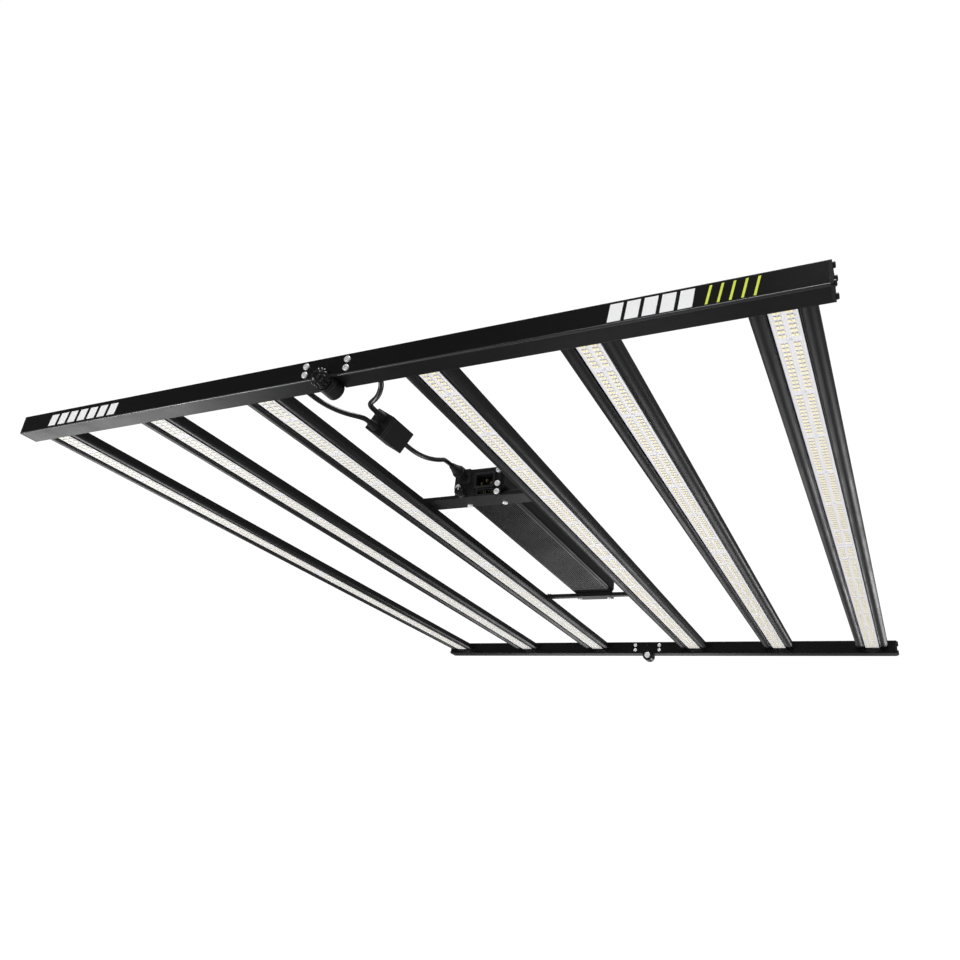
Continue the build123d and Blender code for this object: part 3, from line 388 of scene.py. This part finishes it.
def wrapped_tape(name, color):
    """Layers of insulating tape round a core, or the folds of a plain shrink sleeve."""
    s = Shader(name)
    bands = s.add("ShaderNodeTexWave", bands_direction="Y")
    bands.inputs["Scale"].default_value = 60.0
    bands.inputs["Distortion"].default_value = 0.6
    s.link(s.coords, bands.inputs["Vector"])
    base = s.mixed(bands.outputs["Fac"], scaled(color, 0.75), scaled(color, 1.1))
    sheen = s.ranged(s.noise(120.0), *NOISE_MIDDLE, 0.25, 0.4)
    return s.finish(base, sheen, s.bump(bands.outputs["Fac"], 0.05 * MM, s.rounded_edges(0.4 * MM)))


def ink(name, color):
    """Screen-printed ink that covers a little unevenly."""
    s = Shader(name)
    patch = s.noise(700.0, 5.0)
    base = s.mixed(patch, scaled(color, 0.9), scaled(color, 1.04))
    sheen = s.ranged(patch, *NOISE_MIDDLE, 0.42, 0.55)
    return s.finish(base, sheen, s.bump(patch, 0.008 * MM))


def pale_ground(name, color):
    """A matt studio floor with a faint, broad unevenness."""
    s = Shader(name)
    patch = s.noise(1.5, 4.0)
    base = s.mixed(patch, scaled(color, 0.99), color)
    sheen = s.ranged(patch, *NOISE_MIDDLE, 0.75, 0.9)
    return s.finish(base, sheen, s.bump(s.noise(60.0), 0.2 * MM), specular=0.1)


ALONG_Y = (1, 0.006, 1)
COATINGS = {
    "frame_black": dict(color=(0.003, 0.003, 0.0032), roughness=0.34, grain=2200.0, depth=0.015 * MM,
                        specular=0.27, edge=1.0 * MM),
    # A lighter metallic grey than the black rails: a painted highlight for the lips on their lower edges.
    "painted_highlight_trim": dict(color=(0.10, 0.10, 0.104), roughness=0.27, grain=2200.0, depth=0.005 * MM,
                      specular=0.6, edge=0.3 * MM, metallic=0.85),
    "end_cap_black": dict(color=(0.006, 0.006, 0.0063), roughness=0.48, grain=1600.0, depth=0.03 * MM),
    "black_screws": dict(color=(0.012, 0.012, 0.013), roughness=0.3, grain=1800.0, depth=0.01 * MM,
                         specular=0.5, wear=0.12),
    "bar_black": dict(color=(0.0045, 0.0045, 0.0048), roughness=0.33, grain=900.0, depth=0.003 * MM,
                      specular=0.4, stretch=ALONG_Y, edge=0.3 * MM),
    "hinge_black": dict(color=(0.006, 0.006, 0.0063), roughness=0.28, grain=2000.0, depth=0.01 * MM,
                        specular=0.5, wear=0.1),
    "knob_plastic": dict(color=(0.005, 0.005, 0.0053), roughness=0.24, grain=1500.0, depth=0.008 * MM,
                         specular=0.6, wear=0.02),
    "ring_black": dict(color=(0.01, 0.01, 0.011), roughness=0.4, grain=1500.0, depth=0.02 * MM,
                       specular=0.4),
    "rubber_black": dict(color=(0.01, 0.01, 0.01), roughness=0.55, grain=1100.0, depth=0.05 * MM,
                         wear=0.01),
    "cable_jacket": dict(color=(0.008, 0.008, 0.0085), roughness=0.24, grain=900.0, depth=0.01 * MM,
                         specular=0.6, wear=0.0),
    "driver_black": dict(color=(0.008, 0.008, 0.0085), roughness=0.34, grain=2400.0, depth=0.003 * MM,
                         specular=0.35),
    "connector_black": dict(color=(0.01, 0.01, 0.011), roughness=0.45, grain=1300.0, depth=0.03 * MM,
                            specular=0.35),
    "bracket_black": dict(color=(0.009, 0.009, 0.0095), roughness=0.36, grain=2200.0, depth=0.02 * MM),
    "splitter_plastic": dict(color=(0.006, 0.006, 0.0065), roughness=0.3, grain=1200.0, depth=0.01 * MM,
                             specular=0.5, edge=0.8 * MM),
    "chip_case": dict(color=(0.66, 0.65, 0.62), roughness=0.45, grain=2500.0, depth=0.01 * MM,
                      specular=0.4, mottle=0.03, edge=0.08 * MM, wear=0.02),
}
materials = {name: coated(name, **look) for name, look in COATINGS.items()}
materials |= {
    "steel_screws": bright_steel("steel_screws"),
    "brass_pins": bright_steel("brass_pins", (0.50, 0.40, 0.20), 0.9),
    "board_white": circuit_board("board_white", (0.60, 0.59, 0.61), (0.50, 0.49, 0.51), 6.65 * MM, 3.0 * MM),
    "circuit_green": circuit_board("circuit_green", (0.02, 0.13, 0.05), (0.05, 0.22, 0.09), 5 * MM, 7 * MM),
    "led_cool": phosphor("led_cool", (0.70, 0.68, 0.54), (0.60, 0.57, 0.40)),
    "led_warm": phosphor("led_warm", (0.74, 0.67, 0.42), (0.64, 0.55, 0.28)),
    "transformer_tape": wrapped_tape("transformer_tape", (0.72, 0.55, 0.06)),
    "capacitor_sleeve": wrapped_tape("capacitor_sleeve", (0.03, 0.04, 0.08)),
    "harness_sleeve": woven_sleeve("harness_sleeve", (0.02, 0.02, 0.02)),
    "solder": bright_steel("solder", (0.38, 0.37, 0.34), 0.6),
    "white_ink": ink("white_ink", (0.86, 0.86, 0.86)),
    "lime_ink": ink("lime_ink", (0.62, 0.72, 0.07)),
}


# --- mesh helpers --------------------------------------------------------------------------
def linked(name, data):
    """A new object in the scene."""
    obj = bpy.data.objects.new(name, data)
    bpy.context.scene.collection.objects.link(obj)
    return obj


def in_metres(place):
    """A place that is given in millimetres."""
    return [c * MM for c in place]


def piece(name, shape, material, body):
    """A new mesh object that rides on a body and takes one material. shape is (verts, faces)."""
    verts, faces = shape
    mesh = bpy.data.meshes.new(name)
    mesh.from_pydata(verts, [], faces)
    mesh.validate()
    obj = linked(name, mesh)
    mesh.materials.append(materials[material])
    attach(obj, body)
    return obj


def slab_shape(corners, y_face, y_back):
    """Verts and faces of a thin slab whose outline is (x, z) corners, between two Y planes."""
    count = len(corners)
    verts = [(x, y_face, z) for x, z in corners] + [(x, y_back, z) for x, z in corners]
    faces = [tuple(range(count)), tuple(reversed(range(count, 2 * count)))]
    faces += [(n, n + count, (n + 1) % count + count, (n + 1) % count) for n in range(count)]
    return verts, faces


def merged(shapes):
    """One shape from several (verts, faces)."""
    verts, faces = [], []
    for some_verts, some_faces in shapes:
        faces += [tuple(i + len(verts) for i in face) for face in some_faces]
        verts += some_verts
    return verts, faces


def box_shape(low, high):
    """A box between two corners."""
    x0, y0, z0 = low
    x1, y1, z1 = high
    return slab_shape([(x0, z0), (x1, z0), (x1, z1), (x0, z1)], y0, y1)


def turned(profile, centre, flutes=0, flute_depth=0.0, steps=96):
    """A solid of revolution along Y. profile lists (y, radius, share of the flutes' depth)."""
    cx, cz = centre
    verts = []
    for y, radius, share in profile:
        for n in range(steps):
            turn = 2 * math.pi * n / steps
            dip = flute_depth * share * (0.5 + 0.5 * math.cos(flutes * turn)) ** 2
            reach = max(0.0, radius - dip)
            verts.append((cx + reach * math.cos(turn), y, cz + reach * math.sin(turn)))
    rings = len(profile)
    faces = []
    for first in range(0, (rings - 1) * steps, steps):
        for n in range(steps):
            after = (n + 1) % steps
            faces.append((first + n, first + after, first + steps + after, first + steps + n))
    faces.append(tuple(reversed(range(steps))))
    faces.append(tuple(range((rings - 1) * steps, rings * steps)))
    return verts, faces


def rounded_rim(y0, y1, radius, edge, share=1.0, steps=5):
    """Profile points from y0 up to y1 at a radius, with both rims rounded."""
    rim = []
    for n in range(steps + 1):
        turn = math.pi / 2 * n / steps
        rim.append((edge * (1 - math.cos(turn)), radius - edge * (1 - math.sin(turn))))
    start = [(y0 + along, reach, share) for along, reach in rim]
    end = [(y1 - along, reach, share) for along, reach in reversed(rim)]
    return start + end


def band(y0, y1, radius):
    """Profile points of a plain cylinder."""
    return [(y0, radius, 0.0), (y1, radius, 0.0)]


def centre_xz(node):
    """The middle of a CAD node, seen along Y."""
    low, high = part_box(node)
    return (low.x + high.x) / 2, (low.z + high.z) / 2


def box_at(place, corners):
    """A box whose two corners are given in millimetres from a place."""
    low, high = ([p + c * MM for p, c in zip(place, corner)] for corner in corners)
    return box_shape(low, high)


def smoothed_by_angle(obj, degrees=35):
    """Shades smooth across shallow edges and keeps the sharp ones."""
    mesh = obj.data
    mesh.polygons.foreach_set("use_smooth", [True] * len(mesh.polygons))
    mesh.set_sharp_from_angle(angle=math.radians(degrees))
    return obj


# --- camera, light, floor ------------------------------------------------------------------
def add_camera():
    """The photograph's viewpoint."""
    data = bpy.data.cameras.new("camera")
    data.lens = CAMERA_LENS
    data.sensor_width = SENSOR_WIDTH
    data.clip_start = NEAREST_SEEN
    obj = linked("camera", data)
    heading = Matrix.Rotation(math.radians(CAMERA_HEADING), 4, "Z")
    rise = Matrix.Rotation(math.radians(90 + CAMERA_RISE), 4, "X")
    roll = Matrix.Rotation(math.radians(CAMERA_ROLL), 4, "Z")
    obj.matrix_world = Matrix.Translation(CAMERA_PLACE) @ heading @ rise @ roll
    bpy.context.scene.camera = obj


def add_softbox(name, place, size, power):
    """A rectangular light that faces the middle of the object."""
    data = bpy.data.lights.new(name, "AREA")
    data.shape = "RECTANGLE"
    data.size, data.size_y = size
    data.energy = power
    obj = linked(name, data)
    obj.location = place
    obj.rotation_euler = (-Vector(place)).to_track_quat("-Z", "Y").to_euler()
    obj.visible_camera = False


def add_world():
    """White as the camera sees it, and dim in everything's reflections, as black paint needs."""
    world = bpy.data.worlds.new("studio")
    world.use_nodes = True
    tree = world.node_tree
    background = tree.nodes["Background"]
    path = tree.nodes.new("ShaderNodeLightPath")
    strength = tree.nodes.new("ShaderNodeMapRange")
    strength.inputs["To Min"].default_value = WORLD_STRENGTH
    strength.inputs["To Max"].default_value = BACKDROP_STRENGTH
    tree.links.new(path.outputs["Is Camera Ray"], strength.inputs["Value"])
    tree.links.new(strength.outputs["Result"], background.inputs["Strength"])
    background.inputs["Color"].default_value = (1.0, 1.0, 1.0, 1.0)
    bpy.context.scene.world = world


def add_sun():
    """Broad soft light from straight above."""
    data = bpy.data.lights.new("sky_sun", "SUN")
    data.energy = SUN_STRENGTH
    data.angle = math.radians(SUN_ANGLE)
    linked("sky_sun", data)


def add_floor():
    """A pale floor well below the light, which its glossy faces don't mirror."""
    signs = ((-1, -1), (1, -1), (1, 1), (-1, 1))
    corners = [(x * FLOOR_HALF, y * FLOOR_HALF, FLOOR_HEIGHT) for x, y in signs]
    mesh = bpy.data.meshes.new("floor")
    mesh.from_pydata(corners, [], [(0, 1, 2, 3)])
    floor = linked("floor", mesh)
    mesh.materials.append(pale_ground("pale_floor", (0.95, 0.95, 0.95)))
    floor.visible_glossy = False


def add_studio():
    """The white backdrop, the floor and the lights."""
    bpy.context.scene.view_settings.view_transform = "Standard"
    add_world()
    add_sun()
    add_floor()
    for name, place, size, power in SOFTBOXES:
        add_softbox(name, place, size, power)


# --- cables --------------------------------------------------------------------------------
def route_curve(name, points):
    """A smooth NURBS curve with the route's points as control points."""
    curve = bpy.data.curves.new(name, "CURVE")
    curve.dimensions = "3D"
    curve.resolution_u = 16
    spline = curve.splines.new("NURBS")
    spline.points.add(len(points) - 1)
    for point, place in zip(spline.points, points):
        point.co = (*in_metres(place), 1.0)
    spline.order_u = 3
    spline.use_endpoint_u = True
    return linked(name, curve)


def curve_line(obj):
    """The points that a curve with no bevel follows."""
    mesh = bpy.data.meshes.new_from_object(obj)
    points = [v.co.copy() for v in mesh.vertices]
    bpy.data.meshes.remove(mesh)
    return points


def add_cable(name, node, points, bends=None):
    """A cable that replaces a CAD tube. Given bends, it is made a plain mesh that rides on no body; the
    points in bends are not used.
    """
    obj = route_curve(name, points)
    bpy.context.view_layer.update()
    line = curve_line(obj)
    obj.data.bevel_depth = CABLE_DIAMETER / 2
    obj.data.bevel_resolution = 6
    if bends:
        bpy.context.view_layer.update()
        mesh = bpy.data.meshes.new_from_object(obj)
        bpy.data.objects.remove(obj)
        obj = linked(name, mesh)
        mesh.polygons.foreach_set("use_smooth", [True] * len(mesh.polygons))
    obj.data.materials.append(materials["cable_jacket"])
    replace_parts(obj, node)
    if bends:
        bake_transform(obj)
    else:
        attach(obj, "left_half")


def boot_profile(y0, y1, radii, ribs):
    """A tapered strain relief with ribs, from y0 to y1. radii are its wide and narrow ends'."""
    wide, narrow = radii
    points = band(y0, y0 + BOOT_PLAIN_SHARE * (y1 - y0), wide)
    for n in range(ribs):
        start = BOOT_RIBS_START + BOOT_RIBS_SHARE * n / ribs
        for part, side in RIB_POINTS:
            share = start + BOOT_RIBS_SHARE * part / ribs
            radius = wide + (narrow - wide) * share + side * RIB_LIFT
            points.append((y0 + share * (y1 - y0), radius, 0.0))
    return points + [(y1, narrow, 0.0)]


def add_splitter_boots():
    """Ribbed strain reliefs in place of the splitter's plain glands."""
    shapes = []
    for (x, z), y0, y1 in SPLITTER_GLANDS:
        profile = boot_profile(y0 * MM, y1 * MM, GLAND_RADII, 4)
        shapes.append(turned(profile, (x * MM, z * MM), steps=40))
    boots = piece("splitter_boots", merged(shapes), "rubber_black", "left_half")
    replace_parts(smoothed_by_angle(boots, 60), "splitter_glands")
    return boots


def add_grommet_boots():
    """A flange and a ribbed boot where each short cable enters the near rail."""
    for half in ("left", "right"):
        low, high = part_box(f"cable_grommet_{half}")
        seat = [(low.y, GROMMET_SEAT_RADII[0], 0.0), (RAIL_FACE - 0.1 * MM, GROMMET_SEAT_RADII[1], 0.0)]
        flange = rounded_rim(RAIL_FACE, RAIL_FACE + FLANGE_DEPTH, FLANGE_RADIUS, FLANGE_RIM)
        taper = boot_profile(RAIL_FACE + FLANGE_DEPTH + 0.1 * MM, high.y, GROMMET_TAPER_RADII, 2)
        shape = turned(seat + flange + taper, centre_xz(f"cable_grommet_{half}"), steps=48)
        boot = piece(f"grommet_boot_{half}", shape, "rubber_black", f"{half}_half")
        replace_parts(smoothed_by_angle(boot, 60), f"cable_grommet_{half}")


def add_cables():
    """The driver's cable with the splitter on it, and the two short ones into the near rail."""
    add_cable("driver_cable", "cable_driver", DRIVER_CABLE)
    add_cable("left_cable", "cable_left", LEFT_CABLE)
    bends = (in_metres(RIGHT_CABLE[1]), in_metres(RIGHT_CABLE[-2]))
    add_cable("right_cable", "cable_right", RIGHT_CABLE, bends)


# --- LED chips -----------------------------------------------------------------------------
def board_spans(low, high):
    """The stretch in Y of each of a bar's two boards."""
    middle = (low.y + high.y) / 2
    return [(low.y, middle - BOARD_SPLIT / 2), (middle + BOARD_SPLIT / 2, high.y)]


def row_places(y0, y1):
    """The Y of each row of chips on a board: none where a screw is."""
    step = (y1 - y0 - 2 * BOARD_SCREW_MARGIN) / (BOARD_SCREWS - 1)
    pitch = step / (ROWS_BETWEEN_SCREWS + 1)
    first = y0 + BOARD_SCREW_MARGIN
    before = int((BOARD_SCREW_MARGIN - CHIP_LENGTH) / pitch)
    total = (BOARD_SCREWS - 1) * (ROWS_BETWEEN_SCREWS + 1)
    numbers = range(-before, total + before + 1)
    on_screws = [n for n in numbers if 0 <= n <= total and n % (ROWS_BETWEEN_SCREWS + 1) == 0]
    return [first + n * pitch for n in numbers if n not in on_screws]


def chip_shape(x, y, z):
    """A chip's case from its foot to its sunk window, and last the window, as (verts, faces)."""
    w, h = CHIP_WIDTH / 2, CHIP_LENGTH / 2
    face = z - CHIP_HEIGHT
    rings = (
        (w, h, z + FOOT_SINK),
        (w - CHIP_TRIM, h - CHIP_TRIM, face),
        (w - CHIP_RIM, h - CHIP_RIM, face),
        (w - CHIP_RIM - CHIP_TRIM, h - CHIP_RIM - CHIP_TRIM, face + CHIP_SINK),
    )
    signs = ((-1, -1), (1, -1), (1, 1), (-1, 1))
    verts = [(x + sx * a, y + sy * b, level) for a, b, level in rings for sx, sy in signs]
    sides = [(r + n, r + 4 + n, r + 4 + (n + 1) % 4, r + (n + 1) % 4) for r in (0, 4, 8) for n in range(4)]
    return verts, sides + [(0, 1, 2, 3), (15, 14, 13, 12)]


def pad_shape(x, y, z):
    """The solder that shows at a chip's end."""
    return box_shape((x - PAD_WIDTH / 2, y - PAD_LENGTH / 2, z - PAD_HEIGHT),
                     (x + PAD_WIDTH / 2, y + PAD_LENGTH / 2, z + FOOT_SINK))


def chip_places(numbers):
    """The middle of every chip on some bars' boards."""
    for number in numbers:
        low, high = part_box(f"led_board_{number}")
        middle = (low.x + high.x) / 2
        for y0, y1 in board_spans(low, high):
            for y in row_places(y0, y1):
                for column in CHIP_COLUMNS:
                    yield middle + column, y, low.z


def add_chips(half, numbers, slot):
    """Every chip on one half's boards: one mesh of cases and phosphor windows, and one of solder."""
    body = f"{half}_half"
    places = list(chip_places(numbers))
    cases = merged([chip_shape(*place) for place in places])
    chips = piece(f"led_chips_{half}", cases, "chip_case", body)
    chips.data.materials.append(materials[slot])
    windows = [int(n % FACES_PER_CHIP == FACES_PER_CHIP - 1) for n in range(len(chips.data.polygons))]
    chips.data.polygons.foreach_set("material_index", windows)
    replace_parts(chips, f"leds_{half}")
    reach = CHIP_LENGTH / 2 + PAD_LENGTH / 2
    pads = [pad_shape(x, y + end * reach, z) for x, y, z in places for end in (-1, 1)]
    piece(f"led_solder_{half}", merged(pads), "solder", body)


# --- knobs, plug and ring ------------------------------------------------------------------
def add_lock_knob():
    """The fluted knob that clamps the near hinge, with a sunk face, a washer and a stud end."""
    low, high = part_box("hinge_lock_knob")
    centre = centre_xz("hinge_lock_knob")
    radius = (high.x - low.x) / 2
    front = low.y
    back = front + LOCK_KNOB_DEPTH
    sunk = [(front + along * MM, reach * MM, 0.0) for along, reach in LOCK_KNOB_DISH]
    skirt = rounded_rim(front, back - LOCK_COLLAR_DEPTH - SEAM, radius, 2.0 * MM)
    collar = band(back - LOCK_COLLAR_DEPTH, back, radius - LOCK_COLLAR_INSET)
    shape = turned(sunk + skirt + collar, centre, flutes=12, flute_depth=1.5 * MM, steps=144)
    knob = piece("lock_knob", shape, "knob_plastic", "lock_knob")
    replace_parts(smoothed_by_angle(knob, 50), "hinge_lock_knob")
    washer = turned(band(back + 0.02 * MM, back + 0.38 * MM, WASHER_RADIUS), centre, steps=64)
    piece("lock_knob_washer", washer, "black_screws", "lock_knob")
    stud = turned(rounded_rim(front + 0.5 * MM, front + 1.7 * MM, STUD_RADIUS, 0.4 * MM), centre, steps=48)
    smoothed_by_angle(piece("lock_knob_stud", stud, "black_screws", "lock_knob"))


def add_dimmer_knob():
    """The dimmer's ribbed cap and the pointer on its front."""
    low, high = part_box("dimmer_knob")
    centre = centre_xz("dimmer_knob")
    radius = (high.x - low.x) / 2
    front = low.y
    back = front + DIMMER_DEPTH
    skirt = rounded_rim(front, back - DIMMER_BASE_DEPTH - SEAM, radius, 0.8 * MM)
    base = band(back - DIMMER_BASE_DEPTH, back, radius - DIMMER_BASE_INSET)
    shape = turned(skirt + base, centre, flutes=18, flute_depth=0.5 * MM, steps=144)
    knob = piece("dimmer_knob_cap", shape, "knob_plastic", "dimmer")
    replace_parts(smoothed_by_angle(knob, 50), "dimmer_knob")
    piece("dimmer_pointer", box_at((centre[0], front, centre[1]), POINTER), "white_ink", "dimmer")


def add_plug():
    """The output plug, tapered towards its cable."""
    low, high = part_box("output_plug")
    body_start = high.y - PLUG_BODY_LENGTH
    body = rounded_rim(body_start, high.y, PLUG_RADIUS, 0.5 * MM)
    taper = boot_profile(body_start - SEAM, low.y, PLUG_TAPER_RADII, 5)
    shape = turned(taper[::-1] + body, centre_xz("output_plug"), steps=56)
    plug = piece("cable_plug", shape, "connector_black", "left_half")
    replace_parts(smoothed_by_angle(plug, 50), "output_plug")


def add_locking_ring():
    """The plug's knurled locking ring, with a plain lip on each side of the grip."""
    low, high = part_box("output_ring")
    radius = (high.x - low.x) / 2
    grip_margin = RING_LIP + 0.1 * MM
    lip_radius = radius - RING_LIP_INSET
    grip = rounded_rim(low.y + grip_margin, high.y - grip_margin, radius, 0.6 * MM)
    front = rounded_rim(low.y + RING_GAP, low.y + RING_LIP, lip_radius, 0.3 * MM, 0.0)
    rear = rounded_rim(high.y - RING_LIP, high.y - RING_GAP, lip_radius, 0.3 * MM, 0.0)
    profile = [(low.y, RING_BORE_RADIUS, 0.0), *front, *grip, *rear, (high.y, RING_BORE_RADIUS, 0.0)]
    # The ring shares the plug's axis.
    shape = turned(profile, centre_xz("output_plug"), flutes=24, flute_depth=0.7 * MM, steps=192)
    ring = piece("ring_grip", shape, "ring_black", "locking_ring")
    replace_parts(smoothed_by_angle(ring, 50), "output_ring")


# --- contacts in the sockets ---------------------------------------------------------------
def add_inlet_pins():
    """Bright pins over the inlet's moulded ones."""
    x, z = centre_xz("power_inlet")
    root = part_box("power_inlet")[0].y + PIN_ROOT
    shapes = []
    for dx, dz in PIN_PLACES:
        place = (x + dx * MM, root, z + dz * MM)
        for wide, tall, start, end in PIN_STEPS:
            shapes.append(box_at(place, ((-wide, -end, -tall), (wide, -start, tall))))
    piece("inlet_pins", merged(shapes), "brass_pins", "left_half")


def add_port_contacts():
    """The sprung contacts in each control socket."""
    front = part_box("dimmer_module")[0].y
    shapes = []
    for middle in PORT_MIDDLES:
        for n in range(CONTACTS):
            x = middle + (n - (CONTACTS - 1) / 2) * CONTACT_PITCH
            shapes.append(box_at((x, front, PORT_HEIGHT), CONTACT))
    piece("port_contacts", merged(shapes), "brass_pins", "left_half")


# --- printed marks -------------------------------------------------------------------------
def add_marks():
    """Rows of generic slanted marks on the near rail's outer face."""
    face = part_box("near_rail_left")[0].y
    for name, (x0, x1, count, fill, z0, z1, lean, ink_name, body) in MARKS.items():
        step = (x1 - x0 - lean) / count
        shapes = []
        for n in range(count):
            left = x0 + n * step
            right = left + fill * step
            corners = [(left, z0), (right, z0), (right + lean, z1), (left + lean, z1)]
            in_place = [in_metres(corner) for corner in corners]
            shapes.append(slab_shape(in_place, face - MARK_PROUD, face + MARK_SINK))
        piece(name, merged(shapes), ink_name, body)


# --- lips on the rails' lower edges, lighter as a painted highlight ------------------------
def add_edge_beads():
    """The rounded lip along each rail's lower outer edge: its rounding is real, and its lighter metallic
    grey is a painted highlight on the black rail.
    """
    turns = [2 * math.pi * n / BEAD_STEPS for n in range(BEAD_STEPS)]
    for half in ("left", "right"):
        for rail, side in (("near", -1), ("far", 1)):
            low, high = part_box(f"{rail}_rail_{half}")
            edge = low.y if side < 0 else high.y
            y, z = edge - side * BEAD_INSET, low.z + BEAD_INSET
            ring = [(y + BEAD_RADIUS * math.cos(t), z + BEAD_RADIUS * math.sin(t)) for t in turns]
            verts = [(x, a, b) for x in (low.x, high.x) for a, b in ring]
            faces = [(n, (n + 1) % BEAD_STEPS, (n + 1) % BEAD_STEPS + BEAD_STEPS, n + BEAD_STEPS)
                     for n in range(BEAD_STEPS)]
            faces += [tuple(reversed(range(BEAD_STEPS))), tuple(range(BEAD_STEPS, 2 * BEAD_STEPS))]
            bead = piece(f"{rail}_bead_{half}", (verts, faces), "painted_highlight_trim", f"{half}_half")
            smoothed_by_angle(bead)


# --- the whole scene -----------------------------------------------------------------------
def paint_cad_nodes():
    """Each CAD node gets the material of its slot."""
    for part in frame["record"]["subparts"]:
        mesh = nodes[part["node"]].data
        mesh.materials.clear()
        mesh.materials.append(materials[part["material_slot"]])


add_camera()
add_studio()
paint_cad_nodes()
boots = add_splitter_boots()
add_grommet_boots()
add_cables()
add_chips("left", (1, 2, 3), "led_cool")
add_chips("right", (4, 5, 6), "led_warm")
add_lock_knob()
add_dimmer_knob()
add_plug()
add_locking_ring()
add_inlet_pins()
add_port_contacts()
add_marks()
add_edge_beads()
